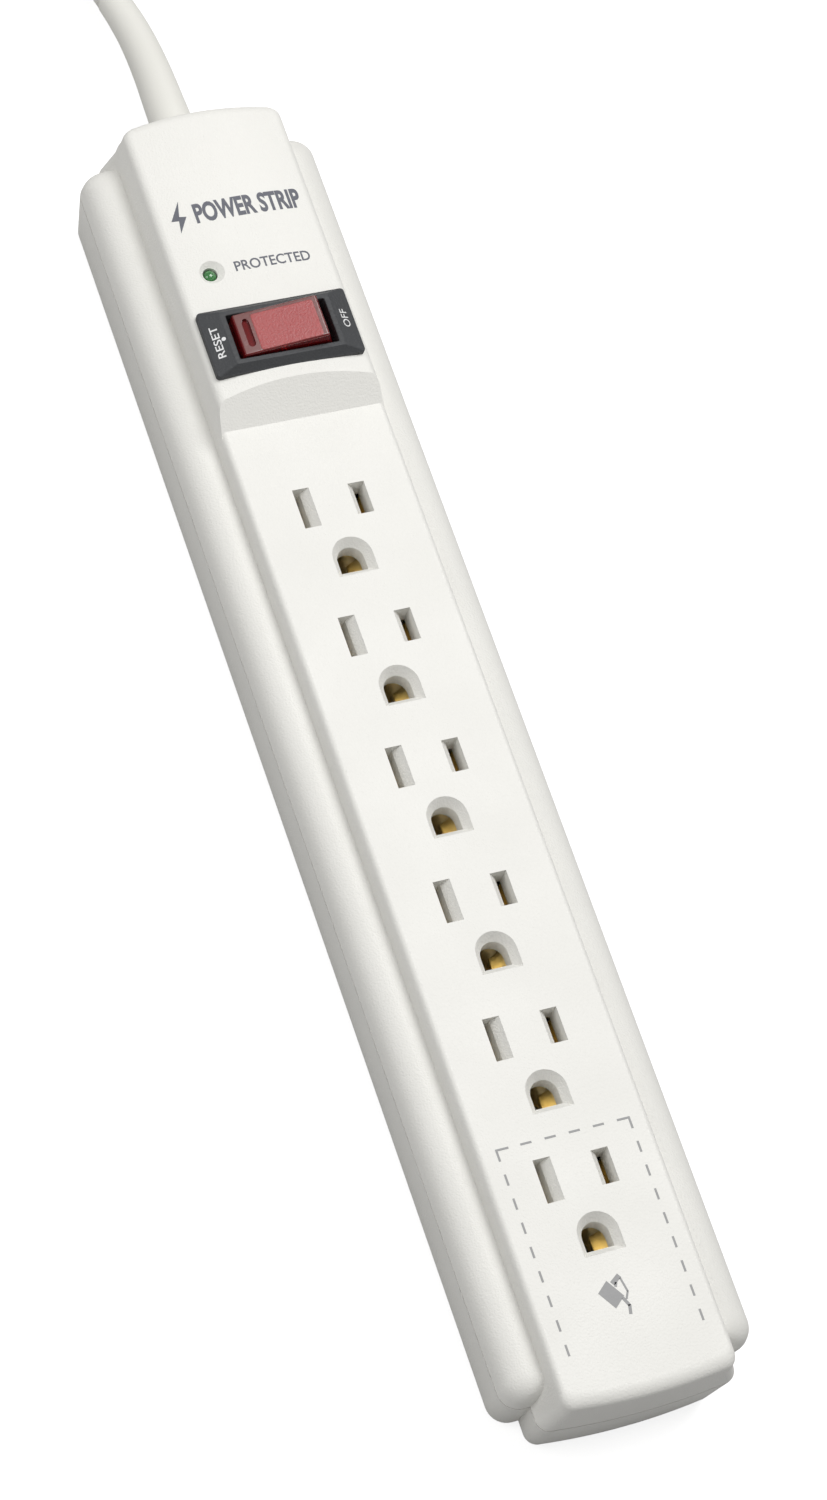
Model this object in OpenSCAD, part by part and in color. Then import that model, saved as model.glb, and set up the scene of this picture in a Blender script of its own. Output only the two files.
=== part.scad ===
// Six-outlet surge-protecting power strip with a lit rocker switch, a status lamp and a corded plug.
// X runs across the strip, +Y along it towards the cord, +Z up. The origin is under its middle.

/* [Housing] */
// Length of the centre body, measured at the seam
body_l = 277; // [270:1:284]
// Width of the centre body at the seam
body_w = 39.6; // [39:0.2:40.4]
// Width across the two side rails
rail_w = 50; // [49:0.5:52]
// Length of the side rails
rail_l = 266.8; // [262:0.2:268]
// Height of the seam between the covers
seam_z = 13.5; // [13:0.1:14]
// Height of the top of the side rails
rail_z = 20; // [19.8:0.1:20.2]
// Height of the outlet deck
deck_z = 24.5; // [24.3:0.1:24.8]
// Height of the crown of the switch deck
crown_z = 29.2; // [29:0.1:29.5]
// Drop of the crown at the edges of the switch deck
crown_drop = 1.15; // [1:0.05:1.3]
// Thickness of the cover walls
wall = 2.2; // [2:0.1:2.4]

/* [Outlets] */
// Number of outlets
outlet_count = 6; // [1:1:6]
// Distance from one outlet to the next
outlet_pitch = 28.6; // [28:0.1:28.6]
// Distance between the two blades of a plug
blade_gap = 12.7; // [12.7:0.1:12.7]
// Distance from the blades to the ground pin
ground_drop = 11.9; // [11.9:0.1:11.9]
// Length of the neutral slot
neutral_slot_l = 8.6; // [8.4:0.1:9]
// Length of the hot slot
hot_slot_l = 6.9; // [6.7:0.1:7.2]
// Radius of the arch of the ground hole, inside its lead-in
ground_r = 2.75; // [2.65:0.05:2.9]

/* [Switch] */
// Width of the bezel, across the strip
bezel_w = 31.1; // [30.8:0.1:31.4]
// Length of the bezel, along the strip
bezel_l = 14.9; // [14.7:0.1:15.1]
// Width of the rocker's window
window_w = 20.7; // [20.5:0.1:20.9]
// Length of the rocker's window
window_l = 10; // [9.9:0.05:10.1]
// Tilt of the rocker to each side of level
rocker_tilt = 7.9; // [7:0.1:8]

/* [Cord] */
// Diameter of the cord
cord_d = 6.6; // [6.4:0.1:6.6]
// Height at which the cord leaves the housing
cord_z = 11; // [10.8:0.1:11.2]
// Length of the runs of the folded hank
hank_run = 104; // [102:1:106]

/* [Hidden] */
$fn = 48;
slip = 0.02;

// Profile of the covers
wall_foot_w = 17.6;      // half width of the deck walls at the top of the rails
wall_slope = 0.086;      // how far the deck walls lean in for each unit of height
edge_x = 1.3;            // rounding of the deck edges, across
edge_y = 2.8;            // rounding of the deck ends, along
edge_z = 2;              // rounding of the deck edges, down
end_bow = 1.3;           // how far the end faces bulge in the middle
body_corner = 2.6;       // radius of the centre body's corners, seen from above
rail_shift = 1.2;        // how far the rails sit towards the cord
rail_corner = 4;         // radius of the rails' corners, seen from above
rail_round = 5.5;        // rounding of the top of the rails
rail_end_round = 3.4;    // rounding of the ends of the rails
foot_in = 1;             // how far the walls lean in down to the foot
foot_round = 2;          // rounding of the foot

// Places along the strip
outlet_1_y = 47.9;
slope_foot_y = 67.4;
slope_angle = 34;
bezel_y = 84.35;
led_x = -9.4;
led_y = 100.6;
screw_x = 19.3;
screw_pitch = 121;
keyhole_y = 107;         // entry of the far keyhole
keyhole_pitch = 230;

// Outlet openings
slot_w = 3.45;           // width of a blade slot at the deck
channel_w = 1.95;        // width of the channel that the blade goes down
slot_lead_z = 2.1;       // depth of the lead-in ramp
ground_lead = 1.37;      // how far the lead-in widens the ground hole
ground_lead_z = 1.95;    // depth of the lead-in of the ground hole
ground_flat = 2.6;       // from the pin's axis to the flat of the ground hole
guide_z = 19.3;          // underside of the guide block below the deck

// Switch
rocker_z = 27.4;         // height of the rocker's axis
rocker_top = 5;          // from the axis to the rocker's face
rocker_l = 9.4;          // length of the rocker along the strip
pin_r = 1;               // radius of the rocker's pin
lever_z = 18;            // height of the lever's axis
lever_tilt = 10;         // tilt of the lever to each side of level
frame_w = 27;            // outside of the switch body
frame_l = 13;
frame_z = 20;            // bottom of the bezel's collar
body_z = 12;             // bottom of the switch body

// Cord, tie and plug
cord_r = cord_d / 2;
relief_route = [
    [0, 124, 11], [0, 134, 11], [0, 144, 10.7], [0.1, 152, 10.1], [0.3, 160, 9.2], [0.2, 168, 8.1],
    [-0.4, 175, 7.1], [-1.6, 182, 6.1], [-3.6, 190, 5.2]
];
lead_route = [
    [-0.4, 175, 7.1], [-1.6, 182, 6.1], [-3.8, 191, 5], [-7.6, 200, 4.1], [-12.8, 209, 3.6],
    [-18.2, 218, 3.4], [-23, 227, 3.4]
];
tail_route = [
    [-26.8, 230, 10.1], [-26.8, 240, 10.1], [-25.6, 250, 10.9], [-21.6, 261, 13.6], [-16.4, 271, 17.4],
    [-12, 281, 21.2], [-9, 291, 24.6], [-8, 300, 26.2], [-8, 308, 26.4]
];
hank_r = 26.8;           // radius of the outer end loops, to the cord's middle
hank_waist = 13.8;       // how far the outer runs stand from the middle at the tie
hank_y = 240;            // middle of the near loops
hank_top = 13.5;         // height of the hank, two layers of cord
plug_x = -8;             // middle of the plug, across
plug_z = 26.4;           // middle of the plug, height
plug_y = 320;            // back of the plug's body
plug_l = 32;             // length of the plug's body
relief_start_r = 4.8;    // radius of the cord's sleeve at the housing
relief_end_r = 3.4;      // and at its tip

// Inside
board_z = 9;             // underside of the surge board
board_top = 10.6;
strip_z = 5.6;           // underside of the two blade strips
ground_z = 10;           // underside of the ground strip

// Half width of the deck walls at a height above the rails.
function wall_w(z) = wall_foot_w - wall_slope * (z - rail_z);

// Height of the crowned switch deck at a distance from its middle.
function crown(x) = crown_z - crown_drop * pow(x / 15, 2);

// Middle line of an outlet, counted from the switch.
function outlet_y(i) = outlet_1_y - i * outlet_pitch;

// A quarter of a rounded rectangle whose end is bowed: w and l are half sizes.
function quarter(w, l, r, bow) = [
    for (a = [0:12:84]) [w - r + r * cos(a), l - bow - r + r * sin(a) + bow * 0.35],
    for (k = [3:-1:1]) [(w - r) * k / 4, l - bow * pow((w - r) * k / 4 / w, 2)]
];

// The whole outline, from its quarter.
function outline(q) = concat(
    q,
    [for (i = [len(q) - 1:-1:0]) [-q[i][0], q[i][1]]],
    [for (p = q) [-p[0], -p[1]]],
    [for (i = [len(q) - 1:-1:0]) [q[i][0], -q[i][1]]]
);

// A point on a smooth curve through four points.
function blend(a, b, c, d, t) = 0.5 * (2 * b + (c - a) * t
    + (2 * a - 5 * b + 4 * c - d) * t * t + (3 * b - a - 3 * c + d) * t * t * t);

// The smooth curve from a route's second point to its last but one.
function curve(route, steps) = [
    for (i = [1:len(route) - 3], k = [0:steps - 1])
        blend(route[i - 1], route[i], route[i + 1], route[i + 2], k / steps),
    route[len(route) - 2]
];

function unit(v) = v / norm(v);

// A ring of points around one place on a curve.
function ring(path, i, r, sides) =
    let (ahead = path[min(i + 1, len(path) - 1)], behind = path[max(i - 1, 0)],
         side = unit(cross(ahead - behind, [0, 0, 1])), up = unit(cross(side, ahead - behind)))
    [for (k = [0:sides - 1]) path[i] + r * (cos(k * 360 / sides) * side + sin(k * 360 / sides) * up)];

// A round tube along a curve, from radius r0 to radius r1.
module tube(path, r0, r1, sides) {
    last = len(path) - 1;
    rings = [for (i = [0:last]) each ring(path, i, r0 + (r1 - r0) * i / last, sides)];
    skin = [for (i = [0:last - 1], k = [0:sides - 1])
        let (a = i * sides + k, b = i * sides + (k + 1) % sides) [a, b, b + sides, a + sides]];
    near = [for (k = [sides - 1:-1:0]) k];
    far = [for (k = [0:sides - 1]) last * sides + k];
    polyhedron(rings, concat([near], skin, [far]));
}

// A thin slice of a bowed outline at height z.
module slice(z, w, l, r, bow) {
    translate([0, 0, z - slip]) linear_extrude(slip) polygon(outline(quarter(w, l, r, bow)));
}

// The two side rails and all between them, up to the top of the rails.
module rail_block() {
    translate([0, rail_shift, 0]) hull() {
        slice(seam_z + slip, rail_w / 2, rail_l / 2, rail_corner, 0);
        for (a = [0:15:90])
            slice(rail_z - rail_round * (1 - sin(a)), rail_w / 2 - 0.1 - rail_round * (1 - cos(a)),
                rail_l / 2 - 0.1 - rail_end_round * (1 - cos(a)), rail_corner - (1 - cos(a)), 0);
    }
}

// The centre body from the seam up to the top of the rails.
module waist_block() {
    hull() {
        slice(seam_z + slip, body_w / 2, body_l / 2, body_corner, end_bow);
        slice(rail_z, wall_foot_w, body_l / 2 - 0.2, body_corner, end_bow);
    }
}

// The raised strip that the outlets are in.
module deck_block() {
    wall_top = deck_z - edge_z;
    hull() {
        slice(rail_z, wall_foot_w, body_l / 2 - 0.2, body_corner, end_bow);
        for (a = [0:15:90])
            slice(wall_top + edge_z * sin(a), wall_w(wall_top) - edge_x * (1 - cos(a)),
                body_l / 2 - 0.3 - edge_y * (1 - cos(a)), body_corner - 0.6 * (1 - cos(a)), end_bow);
    }
}

// The higher, crowned strip that the switch is in, down to the rails.
module crown_block() {
    r = 2;
    front = slope_foot_y - 4;
    difference() {
        hull() {
            intersection() {
                slice(rail_z, wall_foot_w, body_l / 2 - 0.2, body_corner, end_bow);
                translate([-rail_w / 2, front, 0]) cube([rail_w, body_l, 2 * deck_z]);
            }
            for (k = [-1:0.25:1], y = [front + r, body_l / 2 - 0.5 - r])
                translate([15 * k, y - (y > 100 ? end_bow * 0.62 * k * k : 0), crown(15 * k) - r])
                    sphere(r, $fn = 24);
        }
        translate([0, slope_foot_y, deck_z]) rotate([slope_angle, 0, 0])
            translate([-rail_w / 2, -20, 0]) cube([rail_w, 40, 20]);
    }
}

// A ground hole at a height: a round arch with a flat side, reaching down to z0.
module ground_hole() {
    mouth = ground_r + ground_lead;
    top = deck_z + slip;
    bottom = deck_z - ground_lead_z;
    translate([0, 0, bottom]) cylinder(h = ground_lead_z + slip, r1 = ground_r, r2 = mouth);
    intersection() {
        rotate([90, 0, 0]) linear_extrude(10)
            polygon([[-ground_r, bottom], [ground_r, bottom], [mouth, top], [-mouth, top]]);
        rotate([90, 0, 90]) linear_extrude(20, center = true)
            polygon([[0, bottom], [0, top], [-ground_flat - ground_lead, top], [-ground_flat, bottom]]);
    }
    translate([0, 0, guide_z - 1]) cylinder(h = bottom - guide_z + 1.01, r = ground_r);
    translate([-ground_r, -ground_flat, guide_z - 1])
        cube([2 * ground_r, ground_flat, bottom - guide_z + 1.01]);
}

// A blade slot: a straight channel with a ramp on the side towards the middle.
module blade_slot(side, length) {
    outer = blade_gap / 2 + channel_w / 2;
    mirror([side > 0 ? 0 : 1, 0, 0]) translate([0, length / 2, 0]) rotate([90, 0, 0])
        linear_extrude(length) polygon([
            [outer, guide_z - 1], [outer, deck_z + 1], [outer - slot_w, deck_z + 1],
            [outer - slot_w, deck_z], [outer - channel_w, deck_z - slot_lead_z],
            [outer - channel_w, guide_z - 1]
        ]);
}

// The openings of one outlet.
module outlet_cut(y) {
    translate([0, y, 0]) {
        blade_slot(-1, neutral_slot_l);
        blade_slot(1, hot_slot_l);
        translate([0, -ground_drop, 0]) ground_hole();
    }
}

// The places of the six housing screws.
module at_screws() {
    for (x = [-screw_x, screw_x], k = [-1:1]) translate([x, k * screw_pitch, 0]) children();
}

// The hole that the cord's strain relief comes out of.
module cord_hole() {
    translate([0, body_l / 2 - 8, cord_z]) rotate([-90, 0, 0]) cylinder(h = 20, r = relief_start_r + 0.1);
}

module top_cover() {
    color("#F1F0EB") difference() {
        union() {
            difference() {
                union() {
                    rail_block();
                    waist_block();
                    deck_block();
                    crown_block();
                }
                translate([-rail_w / 2 + wall, -rail_l / 2 + 4, seam_z - 1])
                    cube([rail_w - 2 * wall, rail_l - 8, rail_z - wall - seam_z + 1]);
                translate([-15.2, -body_l / 2 + wall + 0.8, seam_z - 1])
                    cube([30.4, body_l - 2 * wall - 1.6, deck_z - wall - seam_z + 1]);
                translate([-14.6, slope_foot_y + 6, seam_z]) cube([29.2, 62, 26.2 - seam_z]);
            }
            translate([-11, outlet_y(5) - 20, guide_z])
                cube([22, 6 * outlet_pitch, deck_z - wall - guide_z + 0.5]);
            at_screws() translate([0, 0, seam_z]) cylinder(h = rail_z - wall - seam_z + 0.5, r = 3);
        }
        for (i = [0:outlet_count - 1]) outlet_cut(outlet_y(i));
        at_screws() translate([0, 0, seam_z - 1]) cylinder(h = 4.5, r = 1.4);
        translate([-frame_w / 2 - 0.2, bezel_y - frame_l / 2 - 0.2, 0])
            cube([frame_w + 0.4, frame_l + 0.4, 40]);
        translate([led_x, led_y, 20]) cylinder(h = 12, r = 1.55);
        translate([led_x, led_y, crown(led_x) - 0.9]) cylinder(h = 1.8, r1 = 1.6, r2 = 3.5);
        cord_hole();
    }
}

// The lower half of the rails and of the centre body, solid.
module bottom_block() {
    translate([0, rail_shift, 0]) hull() {
        slice(seam_z, rail_w / 2, rail_l / 2, rail_corner, 0);
        for (a = [0:30:90])
            slice(slip + foot_round * (1 - sin(a)), rail_w / 2 - foot_in - foot_round * (1 - cos(a)),
                rail_l / 2 - foot_in - foot_round * (1 - cos(a)),
                rail_corner - foot_round * (1 - cos(a)), 0);
    }
    hull() {
        slice(seam_z, body_w / 2, body_l / 2, body_corner, end_bow);
        for (a = [0:30:90])
            slice(slip + foot_round * (1 - sin(a)), body_w / 2 - foot_in - foot_round * (1 - cos(a)),
                body_l / 2 - foot_in * 0.9 - foot_round * (1 - cos(a)),
                body_corner - 1.5 * (1 - cos(a)), end_bow);
    }
}

// The places of the two keyholes.
module at_keyholes() {
    for (y = [keyhole_y - keyhole_pitch, keyhole_y]) translate([0, y, 0]) children();
}

// A keyhole for hanging the strip on a screw head.
module keyhole() {
    translate([0, 0, -1]) cylinder(h = 5, r = 4.5);
    translate([0, 7, -1]) cylinder(h = 5, r = 2.1);
    translate([-2.1, 0, -1]) cube([4.2, 7, 5]);
}

module bottom_cover() {
    color("#E9E8E2") difference() {
        union() {
            difference() {
                bottom_block();
                translate([-rail_w / 2 + wall + foot_in, -rail_l / 2 + 4, wall])
                    cube([rail_w - 2 * wall - 2 * foot_in, rail_l - 8, seam_z]);
                translate([-16, -body_l / 2 + wall + 1.2, wall])
                    cube([32, body_l - 2 * wall - 2.4, seam_z]);
            }
            at_screws() cylinder(h = seam_z, r = 3.7);
            at_keyholes() translate([-8, -6.5, 0]) cube([16, 19, 8]);
            for (x = [-12.2, 12.2], y = [98.5, 124]) translate([x, y, 0]) cylinder(h = board_z, r = 1.6);
            for (x = [-7.5, 7.5]) translate([x, 131, 0]) cylinder(h = 6, r = 2.6);
            for (i = [0:outlet_count - 1]) translate([0, outlet_y(i) + 9.1, 0]) {
                translate([-10, -0.8, 0]) cube([20, 1.6, strip_z - 0.05]);
                translate([-3, -0.8, 0]) cube([6, 1.6, ground_z - 0.05]);
            }
        }
        at_screws() {
            translate([0, 0, -1]) cylinder(h = 8, r = 2.9);
            cylinder(h = 20, r = 1.6);
        }
        at_keyholes() {
            keyhole();
            translate([-6.5, -5, wall]) cube([13, 16, 4.4]);
        }
        for (x = [-7.5, 7.5]) translate([x, 131, 1.5]) cylinder(h = 6, r = 1.2);
        translate([-15, -35, -1]) cube([30, 70, 1.25]);
        cord_hole();
    }
}

// A self-tapping housing screw, counted from the near left corner.
module screw(x, k) {
    color("#9A9CA0") translate([x, k * screw_pitch, 0]) difference() {
        union() {
            translate([0, 0, 5]) cylinder(h = 2, r = 2.6);
            translate([0, 0, 6]) cylinder(h = 10.5, r = 1.4);
        }
        translate([-1.5, -0.3, 4]) cube([3, 0.6, 1.8]);
        translate([-0.3, -1.5, 4]) cube([0.6, 3, 1.8]);
    }
}

// The charcoal frame around the rocker, with a collar that clips into the deck.
module switch_bezel() {
    color("#4A4B4D") difference() {
        union() {
            hull() {
                translate([-bezel_w / 2, bezel_y - bezel_l / 2, 28]) cube([bezel_w, bezel_l, 1.3]);
                translate([-11.5, bezel_y - 6, 30.7]) cube([23, 12, 0.1]);
            }
            translate([-frame_w / 2, bezel_y - frame_l / 2, frame_z]) cube([frame_w, frame_l, 9]);
        }
        difference() {
            translate([-bezel_w, bezel_y - bezel_l, 20]) cube([2 * bezel_w, 2 * bezel_l, 9.5]);
            translate([-frame_w / 2, bezel_y - frame_l / 2, 0]) cube([frame_w, frame_l, 40]);
            rotate([90, 0, 0]) linear_extrude(400, center = true)
                polygon([[-20, 40], for (x = [-16:2:16]) [x, crown(x) + 0.03], [20, 40]]);
        }
        translate([-window_w / 2, bezel_y - window_l / 2, 0]) cube([window_w, window_l, 60]);
        translate([0, bezel_y - 20, rocker_z]) rotate([-90, 0, 0]) cylinder(h = 40, r = pin_r);
    }
}

// The closed box below the bezel that holds the contacts.
module switch_body() {
    color("#2B2B2D") translate([0, bezel_y, 0]) difference() {
        translate([-frame_w / 2, -frame_l / 2, body_z]) cube([frame_w, frame_l, frame_z - body_z]);
        translate([-window_w / 2, -window_l / 2, body_z + 1.5]) cube([window_w, window_l, 20]);
        for (x = [-7, 0, 7]) translate([x - 0.45, -2.45, 0]) cube([0.9, 4.9, 20]);
    }
}

// Everything that turns with the rocker is drawn level and then tipped to the on side.
module tipped() {
    translate([0, bezel_y, rocker_z]) rotate([0, -rocker_tilt, 0]) children();
}

// The translucent red paddle, with a rounded recess as its on mark.
module rocker() {
    color("#B5303A") tipped() difference() {
        translate([0, rocker_l / 2, 0]) rotate([90, 0, 0]) linear_extrude(rocker_l) polygon([
            [-8.7, rocker_top], [8.7, rocker_top], [9.6, 0.5], [9.3, -2.6], [2.6, -3.6], [-2.6, -3.6],
            [-9.3, -2.6], [-9.6, 0.5]
        ]);
        translate([0, 10, 0]) rotate([90, 0, 0]) cylinder(h = 20, r = pin_r + 0.05);
        for (y = [-2.45, 2.45]) translate([-6.6, y, rocker_top - 0.6]) cylinder(h = 2, r = 0.75);
        translate([-7.35, -2.45, rocker_top - 0.6]) cube([1.5, 4.9, 2]);
        translate([0, 0, -5]) cylinder(h = 3.4, r = 1.2);
    }
}

module rocker_pin() {
    color("#B9BBBE") translate([0, bezel_y + frame_l / 2, rocker_z]) rotate([90, 0, 0])
        cylinder(h = frame_l, r = pin_r);
}

// The nylon plunger in the rocker that pushes the contact lever over.
module plunger() {
    color("#E8E6DC") tipped() translate([0, 0, -7.4]) {
        cylinder(h = 5.8, r = 1.2);
        sphere(1.2);
    }
}

// The brass seesaw that closes the contact.
module contact_lever() {
    color("#C9A23A") translate([0, bezel_y, lever_z]) rotate([0, lever_tilt, 0]) {
        translate([-7.5, -1.3, -0.3]) cube([15, 2.6, 0.6]);
        rotate([90, 0, 0]) cylinder(h = 2.6, r = 0.6, center = true);
        translate([6.4, 0, -0.7]) cylinder(h = 0.5, r = 0.9);
    }
}

// A flat terminal tab through the floor of the switch body.
module terminal(x, top) {
    color("#C8C9CC") translate([x - 0.4, bezel_y - 2.4, 4]) cube([0.8, 4.8, top - 4]);
}

// The fulcrum terminal, notched so that the lever can rock on it.
module terminal_in() {
    color("#C8C9CC") difference() {
        translate([-0.4, bezel_y - 2.4, 4]) cube([0.8, 4.8, 15]);
        translate([-2, bezel_y - 1.6, 17.3]) cube([4, 3.2, 3]);
    }
}

module neon_lamp() {
    color("#E79A6A") translate([-7, bezel_y + 3.75, body_z + 1.5]) {
        cylinder(h = 7, r = 1.2);
        translate([0, 0, 7]) sphere(1.2);
    }
}

// The green status lamp, with its dome in the recess.
module status_led() {
    color("#3F7A45") translate([led_x, led_y, 21.6]) {
        cylinder(h = 5, r = 1.5);
        translate([0, 0, 5]) sphere(1.5);
        cylinder(h = 1, r = 1.9);
    }
}

// The spacer that holds the lamp up from its board.
module led_holder() {
    color("#2B2B2D") translate([led_x, led_y, board_top]) cylinder(h = 21.6 - board_top, r = 2.3);
}

// A spring leaf that stands up, pinches in and flares out at its mouth. foot, waist and mouth are its
// distances from the middle at the heights z0, z1 and z2.
module leaf(foot, waist, mouth, z0, z1, z2, length) {
    thick = 0.5;
    translate([0, length / 2, 0]) rotate([90, 0, 0]) linear_extrude(length) polygon([
        [foot, z0], [waist, z1], [mouth, z2], [mouth + thick, z2], [waist + thick, z1], [foot + thick, z0]
    ]);
}

// A brass strip below one row of slots, with a pair of spring leaves at each outlet.
module blade_bus(x, leaf_l) {
    color("#C9A23A") translate([x, 0, 0]) {
        translate([-2.4, outlet_y(5) - 8, strip_z]) cube([4.8, 5 * outlet_pitch + 22, 0.8]);
        for (i = [0:outlet_count - 1], side = [0, 1]) translate([0, outlet_y(i), 0])
            mirror([side, 0, 0]) leaf(1.5, 0.4, 1, strip_z, 16.4, 19, leaf_l);
    }
}

// The ground strip, with a hole and two leaves that grip the pin at each outlet.
module ground_bus() {
    color("#D0A640") {
        difference() {
            translate([-3.3, outlet_y(5) - 18, ground_z]) cube([6.6, 6 * outlet_pitch, 0.8]);
            for (i = [0:outlet_count - 1]) translate([0, outlet_y(i) - ground_drop, ground_z - 1])
                cylinder(h = 3, r = 2.5);
        }
        for (i = [0:outlet_count - 1], side = [0, 1]) translate([0, outlet_y(i) - ground_drop - 0.4, 0])
            mirror([side, 0, 0]) leaf(2.6, 1.2, 3.5, ground_z, 15.6, 19, 5);
    }
}

// The board with the surge parts, standing on four posts.
module surge_board() {
    color("#2F6B3A") translate([-14, 96.5, board_z]) cube([28, 28.5, board_top - board_z]);
}

// A disc varistor standing on the board.
module varistor(y) {
    color("#2C5FA8") translate([-5, y, board_top]) {
        translate([0, 0, 7.2]) rotate([-90, 0, 0]) cylinder(h = 3.6, r = 5.6);
        translate([-3, 1.2, 0]) cube([6, 1.2, 4]);
    }
}

module thermal_fuse() {
    color("#D8D6CF") translate([6.5, 98, board_top]) {
        translate([0, 0, 2.4]) rotate([-90, 0, 0]) cylinder(h = 12, r = 2);
        translate([-0.4, 1, 0]) cube([0.8, 10, 2]);
    }
}

module capacitor() {
    color("#D9B23A") translate([4, 110.5, board_top]) cube([7, 10.5, 10]);
}

// An insulated wire along a route.
module wire(route, tint) {
    color(tint) tube(curve(route, 3), 0.7, 0.7, 8);
}

// The wire from the cord to the switch.
module wire_line_in() {
    wire([[-1.4, 131, 8.8], [-1.4, 126.9, 8.2], [-7.6, 122.8, 6], [-9.3, 117.5, 5], [-9.3, 104, 5],
        [-7.6, 96, 5], [-2.6, 90.6, 5.6], [0, 86.9, 5.8], [0.6, 84, 5.8]], "#1E1E20");
}

// The wire from the switch to the line strip.
module wire_line() {
    wire([[7, 86, 6], [7, 81.8, 5.6], [8, 76, 4.8], [8.6, 70, 5], [8, 65, 6.8], [6.6, 60, 7.6],
        [6.4, 55, 7.4]], "#1E1E20");
}

// The wire from the board to the neutral strip.
module wire_neutral() {
    wire([[-10.5, 100, 9.8], [-10.5, 96.4, 9.8], [-11.5, 91, 8.6], [-12, 84, 6.5], [-11, 75, 5],
        [-9, 67, 6.2], [-6.6, 60, 7.6], [-6.4, 55, 7.4]], "#E4E4E2");
}

// The wire from the cord to the ground strip.
module wire_ground() {
    wire([[1.4, 131, 12], [1.4, 126.9, 12], [6, 124.2, 12.4], [11.4, 122.6, 12], [12.9, 117, 11.6],
        [12.9, 108, 11.6], [12.8, 97, 11.6], [11, 88, 9.4], [8.6, 76, 8.8], [3, 66, 11], [0, 55.6, 11.7],
        [0, 50, 11.7]], "#3C8A46");
}

// The stripped end of the cord inside the housing.
module cord_end() {
    color("#ECEAE3") translate([0, 127.2, cord_z]) rotate([-90, 0, 0]) cylinder(h = 6.5, r = cord_r - 0.05);
}

// The bar that holds the cord down inside the housing.
module cord_clamp() {
    color("#DAD8D0") difference() {
        translate([-10.5, 128.4, 6]) cube([21, 5.2, 3]);
        for (x = [-7.5, 7.5]) translate([x, 131, 0]) cylinder(h = 20, r = 1.4);
        translate([0, 120, cord_z]) rotate([-90, 0, 0]) cylinder(h = 20, r = 3.3);
    }
}

module clamp_screw(x) {
    color("#9A9CA0") translate([x, 131, 0]) {
        translate([0, 0, 3]) cylinder(h = 7, r = 1.2);
        translate([0, 0, 9]) cylinder(h = 1.6, r = 2.2);
    }
}

module rating_label() {
    color("#D9D9D6") translate([-14.8, -34.8, 0.1]) cube([29.6, 69.6, 0.15]);
}

// The moulded sleeve that the cord comes out of, bending with it.
module strain_relief() {
    path = curve(relief_route, 4);
    color("#ECEAE3") {
        tube(path, relief_start_r, relief_end_r, 12);
        translate([-6.2, 133.7, 5.2]) cube([12.4, 1.3, 8]);
    }
}

module cord_lead() {
    color("#ECEAE3") tube(curve(lead_route, 2), cord_r, cord_r, 10);
}

// Half width of the hank's outer side along its length, drawn in at the tie.
function hank_x(t) = hank_waist + (hank_r - hank_waist) * (1 + cos(360 * t)) / 2 + cord_r;

// The outer shape of the folded cord, as one solid.
module cord_hank() {
    side = [for (t = [0:0.0625:1]) [hank_x(t), t * hank_run]];
    loop = [for (a = [15:15:165]) (hank_r + cord_r) * [cos(a), sin(a)]];
    color("#ECEAE3") translate([0, hank_y, 0.1]) linear_extrude(hank_top - 0.1) polygon(concat(
        side,
        [for (p = loop) [p[0], hank_run + p[1]]],
        [for (i = [len(side) - 1:-1:0]) [-side[i][0], side[i][1]]],
        [for (p = loop) -p]
    ));
}

// The twisted tie around the middle of the hank.
module hank_tie() {
    half = hank_x(0.5) + 0.1;
    color("#2B2B2D") translate([0, hank_y + hank_run / 2 - 3, 0]) difference() {
        translate([-half - 1, 0, 0]) cube([2 * half + 2, 6, hank_top + 0.9]);
        translate([-half, -1, -1]) cube([2 * half, 8, hank_top + 1.1]);
    }
}

module cord_tail() {
    color("#ECEAE3") tube(curve(tail_route, 2), cord_r, cord_r, 10);
}

// The ribbed sleeve at the back of the plug.
module plug_relief() {
    color("#ECEAE3") translate([plug_x, plug_y, plug_z]) rotate([90, 0, 0]) {
        cylinder(h = 20, r1 = 5.4, r2 = 3.8);
        for (k = [0:4]) translate([0, 0, 1 + k * 3.6]) cylinder(h = 1.8, r = 6 - k * 0.35);
    }
}

// The moulded body of the plug, narrowing towards the cord.
module plug_body() {
    color("#ECEAE3") translate([plug_x, plug_y, plug_z]) hull() {
        for (x = [-9.5, 9.5], z = [-9, 8.5]) {
            translate([x, plug_l - 1, z]) rotate([-90, 0, 0]) cylinder(h = 1, r = 3.2, $fn = 32);
            translate([x, plug_l - 12, z]) rotate([-90, 0, 0]) cylinder(h = 1, r = 3.8, $fn = 32);
            translate([x * 0.5, 0, z * 0.5]) rotate([-90, 0, 0]) cylinder(h = 1, r = 3.6, $fn = 32);
        }
    }
}

// A flat blade of the plug with a hole near its tip.
module plug_blade(side, width) {
    color("#C8B070") translate([plug_x + side * blade_gap / 2, plug_y + plug_l, plug_z + 4]) difference() {
        translate([-0.75, 0, -width / 2]) cube([1.5, 16, width]);
        translate([-2, 13, 0]) rotate([0, 90, 0]) cylinder(h = 4, r = 1.6);
    }
}

module plug_ground_pin() {
    color("#C8B070") translate([plug_x, plug_y + plug_l, plug_z + 4 - ground_drop]) rotate([-90, 0, 0]) {
        cylinder(h = 17, r = 2.4);
        translate([0, 0, 17]) cylinder(h = 2, r1 = 2.4, r2 = 1.2);
    }
}

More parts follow.
